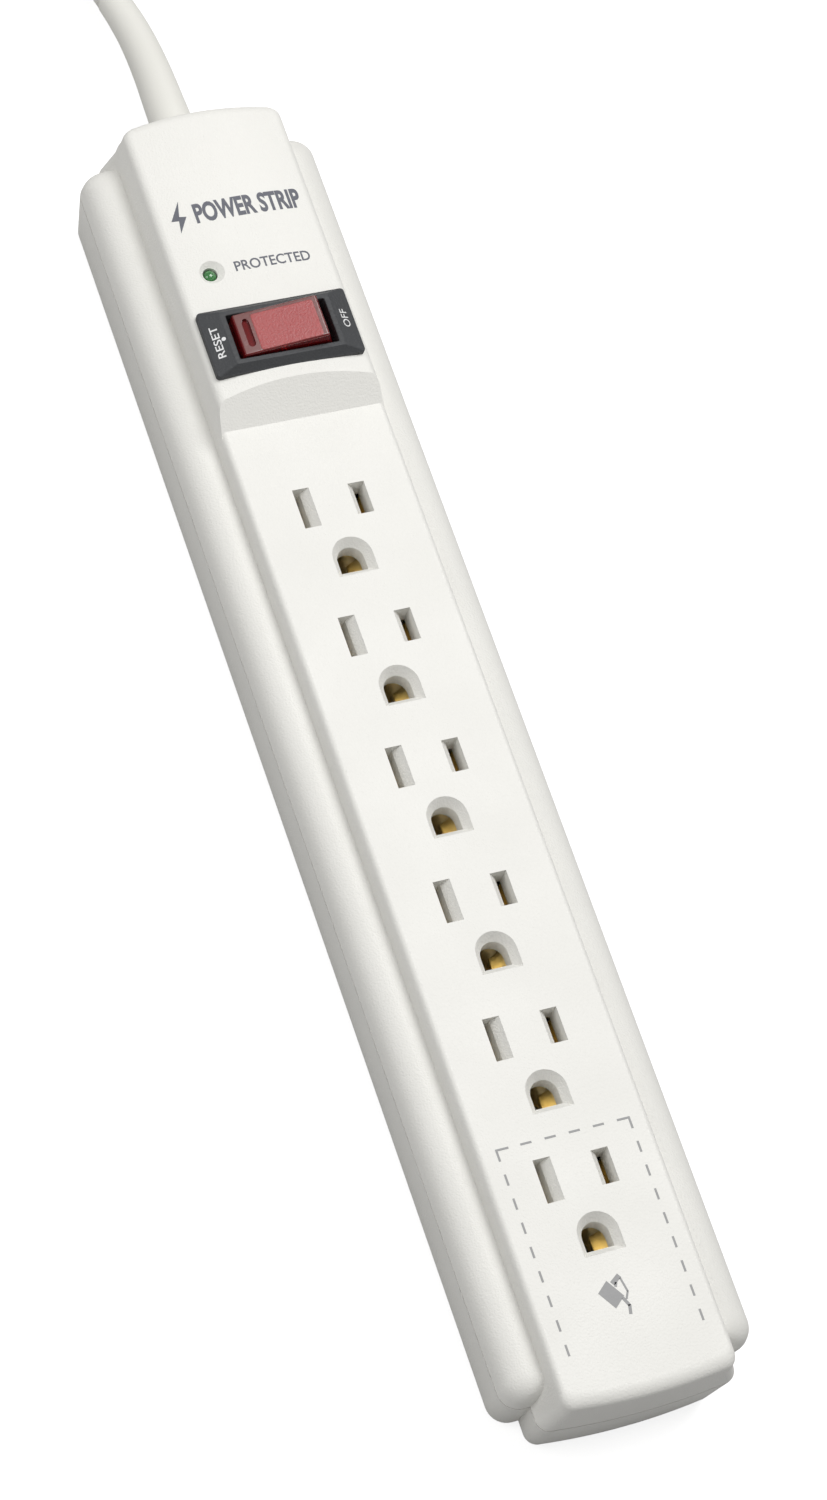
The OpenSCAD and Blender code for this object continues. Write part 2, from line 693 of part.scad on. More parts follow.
top_cover();
bottom_cover();
screw(-screw_x, -1);  // screw_1
screw(-screw_x, 0);  // screw_2
screw(-screw_x, 1);  // screw_3
screw(screw_x, -1);  // screw_4
screw(screw_x, 0);  // screw_5
screw(screw_x, 1);  // screw_6
switch_bezel();
switch_body();
rocker();
rocker_pin();
plunger();
contact_lever();
terminal_in();
terminal(7, 15.7);  // terminal_out
terminal(-7, 14.5);  // terminal_lamp
neon_lamp();
status_led();
led_holder();
blade_bus(-blade_gap / 2, 7.6);  // neutral_bus
blade_bus(blade_gap / 2, 6);  // line_bus
ground_bus();
surge_board();
varistor(104.5);  // varistor_1
varistor(110);  // varistor_2
varistor(115.5);  // varistor_3
thermal_fuse();
capacitor();
wire_line_in();
wire_line();
wire_neutral();
wire_ground();
cord_end();
cord_clamp();
clamp_screw(-7.5);  // clamp_screw_1
clamp_screw(7.5);  // clamp_screw_2
rating_label();
strain_relief();
cord_lead();
cord_hank();
hank_tie();
cord_tail();
plug_relief();
plug_body();
plug_blade(-1, 7.9);  // plug_blade_neutral
plug_blade(1, 6.3);  // plug_blade_hot
plug_ground_pin();
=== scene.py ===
"""Looks for a six-outlet surge-protecting power strip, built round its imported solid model.

Lengths in each section are in millimetres, in the solid model's own axes: X across the strip, Y along it
towards the cord, Z up. MM turns them into metres where a mesh is made.
"""
import math

import bpy
import numpy as np
from mathutils import Matrix


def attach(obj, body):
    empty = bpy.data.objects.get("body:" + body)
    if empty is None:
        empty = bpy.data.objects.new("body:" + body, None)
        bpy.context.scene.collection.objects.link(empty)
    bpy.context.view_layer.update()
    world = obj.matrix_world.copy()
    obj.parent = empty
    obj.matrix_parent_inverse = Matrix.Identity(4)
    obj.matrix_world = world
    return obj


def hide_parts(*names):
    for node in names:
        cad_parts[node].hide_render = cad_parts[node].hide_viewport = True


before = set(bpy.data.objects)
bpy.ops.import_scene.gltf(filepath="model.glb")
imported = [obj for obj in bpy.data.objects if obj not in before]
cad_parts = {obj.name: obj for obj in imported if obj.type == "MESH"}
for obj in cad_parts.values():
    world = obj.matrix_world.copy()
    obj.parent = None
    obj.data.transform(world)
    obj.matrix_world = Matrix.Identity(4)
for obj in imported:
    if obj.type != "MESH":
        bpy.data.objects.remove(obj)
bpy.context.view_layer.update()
MM = 0.001


# ---------------------------------------- Stand, light and camera
# The strip lies on a sheet of white card under a big soft light, nearly overhead but a little to the right
# and behind, with a weak one from the left. A long lens looks down from the near left, slightly rolled.
CAMERA_AT = (-0.267716, -0.304264, 0.745626)
CAMERA_RIGHT = (0.92486, -0.31709, 0.20997)
CAMERA_UP = (0.20160, 0.87692, 0.43631)
CAMERA_BACK = (-0.32248, -0.36120, 0.87495)
CARD_HALF, CARD_Z = 2, -0.0002
CARD_GLOW = 0.78


def look(name, roughness, colour, **sockets):
    """Makes a material with one Principled shader, and returns it with its nodes, links and shader."""
    material = bpy.data.materials.new(name)
    material.use_nodes = True
    nodes, links = material.node_tree.nodes, material.node_tree.links
    shader = nodes["Principled BSDF"]
    shader.inputs["Base Color"].default_value = (*colour, 1)
    shader.inputs["Roughness"].default_value = roughness
    for socket, value in sockets.items():
        shader.inputs[socket.replace("_", " ")].default_value = value
    return material, nodes, links, shader


def set_camera():
    """A 104 mm lens on a frame 36 mm high, turned to the three directions above."""
    lens = bpy.data.cameras.new("camera")
    lens.sensor_fit = "VERTICAL"
    lens.sensor_height = 36
    lens.lens = 104.12
    lens.clip_start = 0.05
    lens.clip_end = 20
    camera = bpy.data.objects.new("camera", lens)
    camera.matrix_world = Matrix([
        [CAMERA_RIGHT[i], CAMERA_UP[i], CAMERA_BACK[i], CAMERA_AT[i]] for i in range(3)
    ] + [[0, 0, 0, 1]])
    bpy.context.collection.objects.link(camera)
    bpy.context.scene.camera = camera


def set_softbox(name, at, size, power):
    """A square area light, turned to face the middle of the strip."""
    light = bpy.data.lights.new(name, "AREA")
    light.size = size
    light.energy = power
    lamp = bpy.data.objects.new(name, light)
    back = np.array(at) / np.linalg.norm(at)
    side = np.cross((0, 0, 1), back) / np.linalg.norm(np.cross((0, 0, 1), back))
    up = np.cross(back, side)
    lamp.matrix_world = Matrix([[side[i], up[i], back[i], at[i]] for i in range(3)] + [[0, 0, 0, 1]])
    bpy.context.collection.objects.link(lamp)


def set_sky(brightness):
    """An even white surround."""
    world = bpy.data.worlds.new("surround")
    world.use_nodes = True
    world.node_tree.nodes["Background"].inputs["Color"].default_value = (1, 1, 1, 1)
    world.node_tree.nodes["Background"].inputs["Strength"].default_value = brightness
    bpy.context.scene.world = world


def set_floor():
    """A square of pale card just under the strip. It glows only where the camera looks straight at it."""
    card = bpy.data.meshes.new("floor")
    corners = [(x * CARD_HALF, y * CARD_HALF, CARD_Z) for x, y in ((-1, -1), (1, -1), (1, 1), (-1, 1))]
    card.from_pydata(corners, [], [(0, 1, 2, 3)])
    floor = bpy.data.objects.new("floor", card)
    bpy.context.collection.objects.link(floor)
    pale, nodes, links, shader = look("pale_card", 0.9, (0.5, 0.5, 0.5))
    shader.inputs["Emission Color"].default_value = (1, 1, 1, 1)
    ray = nodes.new("ShaderNodeLightPath")
    glow = nodes.new("ShaderNodeMath")
    glow.operation = "MULTIPLY"
    glow.inputs[1].default_value = CARD_GLOW
    links.new(ray.outputs["Is Camera Ray"], glow.inputs[0])
    links.new(glow.outputs["Value"], shader.inputs["Emission Strength"])
    card.materials.append(pale)


set_camera()
set_sky(0.3)
set_softbox("overhead", (0.42, 0.3, 1.2), 0.8, 12.3)
set_softbox("left", (-0.95, 0.15, 0.85), 0.7, 4.2)
set_floor()
bpy.context.scene.view_settings.view_transform = "Standard"


# ---------------------------------------- Cord
# A three-core lead in a smooth vinyl jacket. It comes out of the sleeve, sags to the floor and is folded in
# a flat hank of three laps, whose end climbs onto the hank to the plug.
CORD_D = 6.6
LOW, HIGH = 3.4, 10.1
SLEEVE_ROUTE = [
    (0, 124, 11), (0, 134, 11), (0, 144, 10.7), (0.1, 152, 10.1), (0.3, 160, 9.2), (0.2, 168, 8.1),
    (-0.4, 175, 7.1), (-1.6, 182, 6.1), (-3.6, 190, 5.2),
]
LEAD_ROUTE = [
    (-0.4, 175, 7.1), (-1.6, 182, 6.1), (-3.8, 191, 5), (-7.6, 200, 4.1), (-12.8, 209, 3.6),
    (-18.2, 218, LOW), (-23, 227, LOW),
]
TAIL_ROUTE = [
    (-26.8, 230, HIGH), (-26.8, 240, HIGH), (-25.6, 250, 10.9), (-21.6, 261, 13.6), (-16.4, 271, 17.4),
    (-12, 281, 21.2), (-9, 291, 24.6), (-8, 300, 26.2), (-8, 308, 26.4),
]
HANK_Y = 240
HANK_RUN = 104
HANK_INNER = 19.8
HANK_OUTER = 26.8
HANK_DRAWN_IN = 13
FIRST_RUN_Y = 242


def mesh_piece(name, points, faces, material, smooth=True):
    """Makes a mesh object from points in millimetres. Its object stays at the origin."""
    mesh = bpy.data.meshes.new(name)
    mesh.from_pydata((np.asarray(points, float) * MM).tolist(), [], [list(map(int, f)) for f in faces])
    mesh.polygons.foreach_set("use_smooth", [smooth] * len(mesh.polygons))
    if material:
        mesh.materials.append(material)
    piece = bpy.data.objects.new(name, mesh)
    bpy.context.collection.objects.link(piece)
    return piece


def skin(rings, closed_path=False):
    """Joins rings of equal counts, an array (rings, points, 3), into one closed skin. On an open path the
    first and last ring are filled. The rings run anticlockwise seen from the side that the path goes to."""
    count, around = rings.shape[:2]
    i, k = np.meshgrid(np.arange(count - 1 + closed_path), np.arange(around), indexing="ij")
    i2, k2 = (i + 1) % count, (k + 1) % around
    here, beyond = i * around, i2 * around
    faces = np.stack([here + k, here + k2, beyond + k2, beyond + k], -1).reshape(-1, 4).tolist()
    if not closed_path:
        faces += [list(range(around))[::-1], list(range((count - 1) * around, count * around))]
    return rings.reshape(-1, 3), faces


def through(route, steps):
    """The smooth curve from a route's second point to its last but one: from b to c, with a before them and
    d after them, it is 0.5 (2b + (c-a)t + (2a-5b+4c-d)t^2 + (3b-a-3c+d)t^3)."""
    p = np.asarray(route, float)
    t = np.arange(steps)[:, None] / steps
    parts = [
        0.5 * (2 * b + (c - a) * t + (2 * a - 5 * b + 4 * c - d) * t**2 + (3 * b - a - 3 * c + d) * t**3)
        for a, b, c, d in zip(p, p[1:], p[2:], p[3:])
    ]
    return np.vstack(parts + [p[-2:-1]])


def evenly(path, spacing):
    """The same path with its points about one spacing apart."""
    along = np.concatenate([[0], np.cumsum(np.linalg.norm(np.diff(path, axis=0), axis=1))])
    at = np.linspace(0, along[-1], max(3, int(round(along[-1] / spacing))))
    return np.stack([np.interp(at, along, path[:, axis]) for axis in range(3)], 1)


def tube_rings(path, radii, sides):
    """Circles of the given radii square to a path. Each circle's up direction is +Z less its part along the
    path, so the circles don't twist."""
    ahead = np.gradient(path, axis=0)
    ahead /= np.linalg.norm(ahead, axis=1)[:, None]
    side = np.cross(ahead, (0, 0, 1))
    side /= np.linalg.norm(side, axis=1)[:, None]
    up = np.cross(side, ahead)
    angle = np.linspace(0, 2 * math.pi, sides, endpoint=False)
    circle = np.cos(angle)[None, :, None] * side[:, None] + np.sin(angle)[None, :, None] * up[:, None]
    return path[:, None] + np.asarray(radii, float).reshape(-1, 1, 1) * circle


def run(x, z0, z1, away):
    """A straight run of the hank, from the near loop if away is 1 and from the far one if it is -1. It is
    drawn in by HANK_DRAWN_IN (1 - cos 2 pi t) / 2 and rises by the share (1 - cos pi t) / 2."""
    t = np.linspace(0, 1, 40)[:-1] if away > 0 else np.linspace(1, 0, 40)[:-1]
    draw = HANK_DRAWN_IN * (1 - np.cos(2 * math.pi * t)) / 2
    rise = (1 - np.cos(math.pi * np.linspace(0, 1, 40)[:-1])) / 2
    return np.stack([x - np.sign(x) * draw, HANK_Y + HANK_RUN * t, z0 + (z1 - z0) * rise], 1)


def loop(x0, x1, z, far):
    """Half a circle from one run to the next, at the far or the near end."""
    a = np.linspace(0, math.pi, 28)[:-1]
    middle, radius = (x0 + x1) / 2, (x0 - x1) / 2
    y = HANK_Y + HANK_RUN + abs(radius) * np.sin(a) if far else HANK_Y - abs(radius) * np.sin(a)
    return np.stack([middle + radius * np.cos(a), y, np.full(len(a), z)], 1)


def cord_path():
    """The cord from the sleeve's tip to the plug's sleeve: lead, three laps of the hank and tail."""
    a, b = HANK_OUTER, HANK_INNER
    into = through([*LEAD_ROUTE[-2:], (-26.1, 234.5, LOW), (-a, 241, LOW), (-26.4, 249, LOW)], 4)
    first = run(-a, LOW, LOW, 1)
    laps = [
        through(LEAD_ROUTE, 6), into[1:], first[first[:, 1] > FIRST_RUN_Y], loop(-a, a, LOW, True),
        run(a, LOW, LOW, -1), loop(a, -b, LOW, False), run(-b, LOW, LOW, 1), loop(-b, b, LOW, True),
        run(b, LOW, HIGH, -1), loop(b, -b, HIGH, False), run(-b, HIGH, HIGH, 1), loop(-b, a, HIGH, True),
        run(a, HIGH, HIGH, -1), loop(a, -a, HIGH, False), through(TAIL_ROUTE, 6),
    ]
    return evenly(np.vstack(laps), 1.6)


def shade_group(name, inputs, outputs):
    """An empty shader node group with number inputs, each with its default, and named outputs."""
    group = bpy.data.node_groups.new(name, "ShaderNodeTree")
    for socket, value in inputs.items():
        made = group.interface.new_socket(socket, in_out="INPUT", socket_type="NodeSocketFloat")
        made.default_value = value
    for socket in outputs:
        group.interface.new_socket(socket, in_out="OUTPUT", socket_type="NodeSocketFloat")
    return group, group.nodes.new("NodeGroupInput"), group.nodes.new("NodeGroupOutput")


def make_moulded_grain():
    """The skin of moulded plastic: a fine spark-eroded grain as a height, and a slow uneven mottle."""
    scales = {"Grain Scale": 1600, "Mottle Scale": 40}
    group, given, result = shade_group("moulded grain", scales, ["Height", "Mottle"])
    place = group.nodes.new("ShaderNodeTexCoord")
    for wanted, scale, detail in (("Height", "Grain Scale", 2.0), ("Mottle", "Mottle Scale", 3.0)):
        noise = group.nodes.new("ShaderNodeTexNoise")
        noise.inputs["Detail"].default_value = detail
        group.links.new(place.outputs["Object"], noise.inputs["Vector"])
        group.links.new(given.outputs[scale], noise.inputs["Scale"])
        group.links.new(noise.outputs["Fac"], result.inputs[wanted])
    return group


moulded_grain = make_moulded_grain()
ROUGHNESS_SPREAD = 0.05
GRAIN_DEPTH = 0.2 * MM


def moulded(name, colour, deeper, roughness, bump, grain, mottle, **sockets):
    """A moulded plastic: two close colours mixed by the mottle, which the roughness follows too, and the
    grain as a bump of the given strength. grain and mottle are the patterns' scales."""
    material, nodes, links, shader = look(name, roughness, colour, **sockets)
    skin_of = nodes.new("ShaderNodeGroup")
    skin_of.node_tree = moulded_grain
    skin_of.inputs["Grain Scale"].default_value = grain
    skin_of.inputs["Mottle Scale"].default_value = mottle
    mix = nodes.new("ShaderNodeMix")
    mix.data_type = "RGBA"
    mix.inputs["A"].default_value = (*colour, 1)
    mix.inputs["B"].default_value = (*deeper, 1)
    links.new(skin_of.outputs["Mottle"], mix.inputs["Factor"])
    links.new(mix.outputs["Result"], shader.inputs["Base Color"])
    wear = nodes.new("ShaderNodeMapRange")
    wear.inputs["From Min"].default_value = 0.3
    wear.inputs["From Max"].default_value = 0.7
    wear.inputs["To Min"].default_value = roughness - ROUGHNESS_SPREAD
    wear.inputs["To Max"].default_value = roughness + ROUGHNESS_SPREAD
    links.new(skin_of.outputs["Mottle"], wear.inputs["Value"])
    links.new(wear.outputs["Result"], shader.inputs["Roughness"])
    relief = nodes.new("ShaderNodeBump")
    relief.inputs["Strength"].default_value = bump
    relief.inputs["Distance"].default_value = GRAIN_DEPTH
    links.new(skin_of.outputs["Height"], relief.inputs["Height"])
    links.new(relief.outputs["Normal"], shader.inputs["Normal"])
    return material


vinyl = moulded("vinyl", (0.80, 0.79, 0.74), (0.76, 0.75, 0.70), 0.42, 0.12, 900, 30)


def make_cord():
    """The lead as one tube along its path, from the sleeve's tip through the hank to the plug's sleeve."""
    path = cord_path()
    points, faces = skin(tube_rings(path, np.full(len(path), CORD_D / 2), 20))
    cord = mesh_piece("cord", points, faces, vinyl)
    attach(cord, "housing")
    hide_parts("cord_lead", "cord_hank", "cord_tail")


# ---------------------------------------- Cord sleeve
# A tapered sleeve of soft vinyl moulded onto the cord. It is held in the end wall by a flange inside and
# carries the cord out straight before it bends down.
SLEEVE_R, SLEEVE_TAPER = 4.8, 1.4
TIP_START, TIP_ROUND = 0.985, 0.25


def make_sleeve():
    """Circles whose radius falls evenly along the sleeve's route, and by a square at its rounded tip."""
    path = evenly(through(SLEEVE_ROUTE, 8), 0.8)
    t = np.linspace(0, 1, len(path))
    radii = SLEEVE_R - SLEEVE_TAPER * t - TIP_ROUND * np.clip((t - TIP_START) / 0.015, 0, 1) ** 2
    piece = mesh_piece("cord_sleeve", *skin(tube_rings(path, radii, 40)), vinyl)
    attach(piece, "housing")
    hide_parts("strain_relief")
    return piece


sleeve = make_sleeve()


# ---------------------------------------- Hank tie
# A flat strip of vinyl with a wire inside, wound once round the middle of the hank and twisted on top. It
# draws the hank in at its waist.
TIE_OUTSIDE = (36.4, 14.2, 2.4)
TIE_INSIDE = (35.0, 13.2, 1.8)
TIE_Z, TIE_HALF = 7.2, 2.6
TWIST_X, TWIST_L, TWIST_Z = 11, 12, 15.4
TWIST_R, WIRE_R = 0.9, 0.7
tie_vinyl = moulded("tie_vinyl", (0.018, 0.018, 0.02), (0.026, 0.026, 0.028), 0.4, 0.1, 1200, 60)


def rounded_box(width, height, corner, steps=6):
    """The outline of a rounded rectangle about the origin, anticlockwise: four arcs of radius corner."""
    a = np.linspace(0, math.pi / 2, steps)
    x, y = width / 2 - corner, height / 2 - corner
    arcs = [
        np.stack([side * x + corner * np.cos(a + q), end * y + corner * np.sin(a + q)], 1)
        for side, end, q in ((1, 1, 0), (-1, 1, math.pi / 2), (-1, -1, math.pi), (1, -1, 1.5 * math.pi))
    ]
    return np.concatenate(arcs)


def make_tie():
    """A band round the bundle, its outline carried along Y inside and out, and two ends on top that twist
    round each other: helices of radius TWIST_R, two turns long, that end straight."""
    outside, inside = rounded_box(*TIE_OUTSIDE), rounded_box(*TIE_INSIDE)
    middle = HANK_Y + HANK_RUN / 2
    rings = [
        np.stack([shape[:, 0], np.full(len(shape), middle + end * TIE_HALF), TIE_Z + shape[:, 1]], 1)
        for shape, end in ((inside, -1), (outside, -1), (outside, 1), (inside, 1))
    ]
    points, faces = skin(np.stack(rings)[:, ::-1], True)
    t = np.linspace(0, 1, 60)
    for start in (0, math.pi):
        turn = start + 5 * math.pi * t * (t < 0.8) + 4 * math.pi * (t >= 0.8)
        y, z = middle + TWIST_R * np.cos(turn), TWIST_Z + TWIST_R * np.sin(turn)
        path = np.stack([TWIST_X + TWIST_L * t, y, z], 1)
        more, more_faces = skin(tube_rings(path, np.full(60, WIRE_R), 10))
        faces += [[i + len(points) for i in f] for f in more_faces]
        points = np.vstack([points, more])
    piece = mesh_piece("tie", points, faces, tie_vinyl)
    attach(piece, "housing")
    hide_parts("hank_tie")
    return piece


tie = make_tie()


# ---------------------------------------- Plug
# A right-way-up grounded plug moulded in the same vinyl, with finger grooves on its sides, a ribbed sleeve
# behind it, two folded brass blades and a round ground pin with a domed tip.
PLUG_X, PLUG_Y, PLUG_Z = -8, 320, 26.4
PLUG_L = 32
NECK_W, NECK_H = 15.4, 15.0
SWELL_W, SWELL_H = 10.6, 9.3
GROOVE, GROOVE_PITCH = 0.55, 3.2
RIB_PITCH, RIB_H = 3.6, 0.75


def metal(name, colour, deeper, roughness, bump=0.1):
    """Bare metal, by the same mottle and grain as a moulding."""
    return moulded(name, colour, deeper, roughness, bump, 900, 90, Metallic=1.0)


blade_brass = metal("blade_brass", (0.78, 0.62, 0.36), (0.70, 0.54, 0.30), 0.28, 0.05)


def make_plug():
    """Rounded rectangles along Y, from the neck to the face. They swell by s^2 (3 - 2s) over the first 0.62
    of the length, the grooves are a cosine's upper halves, and the face's edge is a quarter ellipse."""
    t = np.linspace(0, 1, 90)
    swell = np.clip(t / 0.62, 0, 1)
    swell = swell * swell * (3 - 2 * swell)
    wave = np.cos((t - 0.42) * PLUG_L * 2 * math.pi / GROOVE_PITCH)
    groove = GROOVE * np.clip(wave, 0, 1) * (np.abs(t - 0.42) < 0.2)
    width = NECK_W + SWELL_W * swell - groove
    height = NECK_H + SWELL_H * swell - groove
    ends = 1.2 * (1 - np.sqrt(np.clip(1 - (np.clip(t - 0.96, 0, 1) / 0.04) ** 2, 0, 1)))
    rings = []
    for k in range(len(t)):
        shape = rounded_box(width[k] - 2 * ends[k], height[k] - 2 * ends[k], 4.2, 9)
        y = np.full(len(shape), PLUG_Y + PLUG_L * t[k])
        rings.append(np.stack([PLUG_X + shape[:, 0], y, PLUG_Z - 0.2 + shape[:, 1]], 1)[::-1])
    piece = mesh_piece("plug", *skin(np.stack(rings)), vinyl)
    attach(piece, "housing")
    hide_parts("plug_body")
    return piece


def make_plug_sleeve():
    """A cone along Y, with a groove after each rib: the cube of half of 1 + cos, once in RIB_PITCH."""
    y = np.linspace(0, 20, 140)
    radius = 5.7 - 0.085 * y - RIB_H * (0.5 + 0.5 * np.cos(2 * math.pi * y / RIB_PITCH)) ** 3 * (y < 18.6)
    radius[0] = radius[1]
    path = np.stack([np.full(140, PLUG_X), PLUG_Y - y, np.full(140, PLUG_Z)], 1)[::-1]
    piece = mesh_piece("plug_sleeve", *skin(tube_rings(path, radius[::-1], 32)), vinyl)
    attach(piece, "housing")
    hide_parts("plug_relief")
    return piece


def finish_nodes(material, *names):
    """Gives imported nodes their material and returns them."""
    for name in names:
        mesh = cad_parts[name].data
        mesh.materials.clear()
        mesh.materials.append(material)
    return [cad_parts[name] for name in names]


plug = make_plug()
plug_sleeve = make_plug_sleeve()
plug_metal = finish_nodes(blade_brass, "plug_blade_neutral", "plug_blade_hot", "plug_ground_pin")
make_cord()


# ---------------------------------------- Bottom cover
# The lower half of the shell, moulded in warm off-white plastic with a fine grain. Its walls lean in
# towards the foot, and a narrow seam parts it from the top cover. The widths and lengths of the rails, the
# body and the label are halves.
RAIL_W, RAIL_L, RAIL_SHIFT = 25, 133.4, 1.2
BODY_W, BODY_L = 19.8, 138.5
RAIL_CORNER, BODY_CORNER = 4, 2.6
SEAM_Z = 13.5
GAP, GAP_IN, GAP_EDGE = 0.2, 0.8, 0.04
END_BOW = 1.3
FOOT_ROUND, FOOT_IN_SIDE, FOOT_IN_END = 2, 1, 0.95
BASE_WALL = 2.2
SCREWS = [(x, y) for x in (-19.3, 19.3) for y in (-121, 0, 121)]
WELL_R, PILOT_R, POST_R = 2.9, 1.6, 3.7
KEYHOLES = (-123, 107)
KEY_HEAD_R, KEY_NECK_R, KEY_RUN = 4.5, 2.1, 7
LABEL_W, LABEL_L = 15, 35
CORD_HOLE_Z, CORD_HOLE_R = 11, 4.9
white = moulded("warm_white", (0.83, 0.82, 0.78), (0.80, 0.79, 0.75), 0.5, 0.5, 2500, 45)
white_base = moulded("warm_white_base", (0.81, 0.80, 0.76), (0.78, 0.77, 0.73), 0.5, 0.5, 2500, 45)


def outline(half_w, half_l, corner, bow):
    """A rounded rectangle with bowed ends, anticlockwise: arcs of radius corner at the corners, and ends at
    y = half_l - bow (x / half_w)^2."""
    a = np.linspace(0, math.pi / 2, 10)
    inner = half_w - corner
    arc_top = half_l - bow * (inner / half_w) ** 2
    arc = np.stack([inner + corner * np.cos(a), arc_top - corner + corner * np.sin(a)], 1)
    x = np.linspace(inner, 0, 9)[1:-1]
    quarter = np.vstack([arc, np.stack([x, half_l - bow * (x / half_w) ** 2], 1)])
    half = np.vstack([quarter, quarter[::-1] * (-1, 1)])
    return np.vstack([half, half * (-1, -1)])


def stacked(slices):
    """A closed skin through outlines at rising heights. slices are (z, half_w, half_l, corner, bow)."""
    rings = [outline(*s[1:]) for s in slices]
    return skin(np.stack([np.column_stack([r, np.full(len(r), s[0])]) for r, s in zip(rings, slices)]))


def rounding(radius, steps):
    """The drop, in length, and the draw-in, as a share, of a quarter circle from its start to its top."""
    a = np.linspace(0, math.pi / 2, steps)
    return zip(radius * (1 - np.sin(a)), 1 - np.cos(a))


def block(low, high):
    """The eight corners and six faces of a box."""
    p = [(x, y, z) for z in (low[2], high[2]) for y in (low[1], high[1]) for x in (low[0], high[0])]
    return p, [(0, 2, 3, 1), (4, 5, 7, 6), (0, 1, 5, 4), (2, 6, 7, 3), (0, 4, 6, 2), (1, 3, 7, 5)]


def prism(shape, low, high, axis="z"):
    """A flat anticlockwise outline carried straight along z, or along y with the outline in x and z."""
    u, v = np.asarray(shape, float).T
    if axis == "z":
        rings = [np.column_stack([u, v, np.full(len(u), level)]) for level in (low, high)]
    else:
        rings = [np.column_stack([u, np.full(len(u), level), v]) for level in (high, low)]
    return skin(np.stack(rings))


def round_of(x, y, radius, count=40):
    """A circle's outline, anticlockwise."""
    a = np.linspace(0, 2 * math.pi, count, endpoint=False)
    return np.stack([x + radius * np.cos(a), y + radius * np.sin(a)], 1)


def combine(base, parts, operation):
    """Joins or cuts solids with an exact boolean, all parts at once, and leaves the result in base."""
    group = bpy.data.collections.new("cutters")
    bpy.context.scene.collection.children.link(group)
    made = []
    for points, faces in parts:
        part = mesh_piece("cutter", points, faces, None, False)
        bpy.context.collection.objects.unlink(part)
        group.objects.link(part)
        made.append(part)
    step = base.modifiers.new("combine", "BOOLEAN")
    step.operand_type = "COLLECTION"
    step.collection = group
    step.operation = operation
    step.solver = "EXACT"
    bpy.context.view_layer.update()
    done = bpy.data.meshes.new_from_object(base.evaluated_get(bpy.context.evaluated_depsgraph_get()))
    base.modifiers.clear()
    base.data = done
    for part in made:
        bpy.data.objects.remove(part)
    bpy.data.collections.remove(group)


def finish_moulding(piece, angle=32):
    """Smooth shading that keeps real edges, with flat faces left flat."""
    piece.data.polygons.foreach_set("use_smooth", [True] * len(piece.data.polygons))
    bpy.context.view_layer.objects.active = piece
    piece.select_set(True)
    bpy.ops.object.shade_smooth_by_angle(angle=math.radians(angle))
    piece.select_set(False)
    weigh = piece.modifiers.new("weigh", "WEIGHTED_NORMAL")
    weigh.keep_sharp = True
    weigh.weight = 100


def seam_slices(half_w, half_l, corner, bow, up):
    """One side of the seam's gap, from its depth out to the wall. up is 1 above the seam and -1 below."""
    inside = (half_w - GAP_IN, half_l - GAP_IN, corner, bow)
    edge = (half_w - GAP_EDGE, half_l - GAP_EDGE, corner, bow)
    return [
        (SEAM_Z, *inside), (SEAM_Z + up * GAP * 0.8, *inside), (SEAM_Z + up * GAP, *edge),
        (SEAM_Z + up * GAP * 1.4, half_w, half_l, corner, bow),
    ]


def foot_slices(half_w, half_l, corner, bow):
    """The walls from the rounded foot up to the seam, a little narrower and shorter at the foot."""
    tighter = min(2, 0.58 * corner)
    foot = []
    for drop, draw in rounding(FOOT_ROUND, 7):
        side, end = half_w - FOOT_IN_SIDE - FOOT_ROUND * draw, half_l - FOOT_IN_END - FOOT_ROUND * draw
        foot.append((drop, side, end, corner - tighter * draw, bow))
    return foot[::-1] + seam_slices(half_w, half_l, corner, bow, -1)[::-1]


def cord_hole():
    """The round hole for the cord in the end wall. The seam crosses it, so both covers have it cut."""
    return prism(round_of(0, CORD_HOLE_Z, CORD_HOLE_R), 130, 145, "y")


def make_bottom_cover():
    """Two stacked skins joined, then hollowed, with keyholes, screw wells and the label's recess cut in."""
    rails, rail_faces = stacked(foot_slices(RAIL_W, RAIL_L, RAIL_CORNER, 0))
    cover = mesh_piece("bottom_shell", rails + (0, RAIL_SHIFT, 0), rail_faces, white_base)
    combine(cover, [stacked(foot_slices(BODY_W, BODY_L, BODY_CORNER, END_BOW))], "UNION")
    combine(cover, [
        block((-21.8, -129.2, BASE_WALL), (21.8, 129.2, 20)),
        block((-16, -135.1, BASE_WALL), (16, 135.1, 20)),
    ], "DIFFERENCE")
    posts = [prism(round_of(x, y, POST_R), 1, SEAM_Z - 0.1) for x, y in SCREWS]
    pockets = [block((-8, y - 6.5, 1), (8, y + 12.5, 8)) for y in KEYHOLES]
    combine(cover, posts + pockets, "UNION")
    keys = []
    for y in KEYHOLES:
        keys += [
            prism(round_of(0, y, KEY_HEAD_R), -1, 4),
            prism(round_of(0, y + KEY_RUN, KEY_NECK_R, 24), -1, 4),
            block((-KEY_NECK_R, y, -1), (KEY_NECK_R, y + KEY_RUN, 4)),
            block((-6.5, y - 5, BASE_WALL), (6.5, y + 11, 6.6)),
        ]
    wells = [prism(round_of(x, y, WELL_R), -1, 7) for x, y in SCREWS]
    pilots = [prism(round_of(x, y, PILOT_R), 6, 20) for x, y in SCREWS]
    label_bed = block((-LABEL_W, -LABEL_L, -1), (LABEL_W, LABEL_L, 0.25))
    combine(cover, keys + wells + pilots + [cord_hole(), label_bed], "DIFFERENCE")
    finish_moulding(cover)
    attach(cover, "housing")
    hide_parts("bottom_cover")


make_bottom_cover()


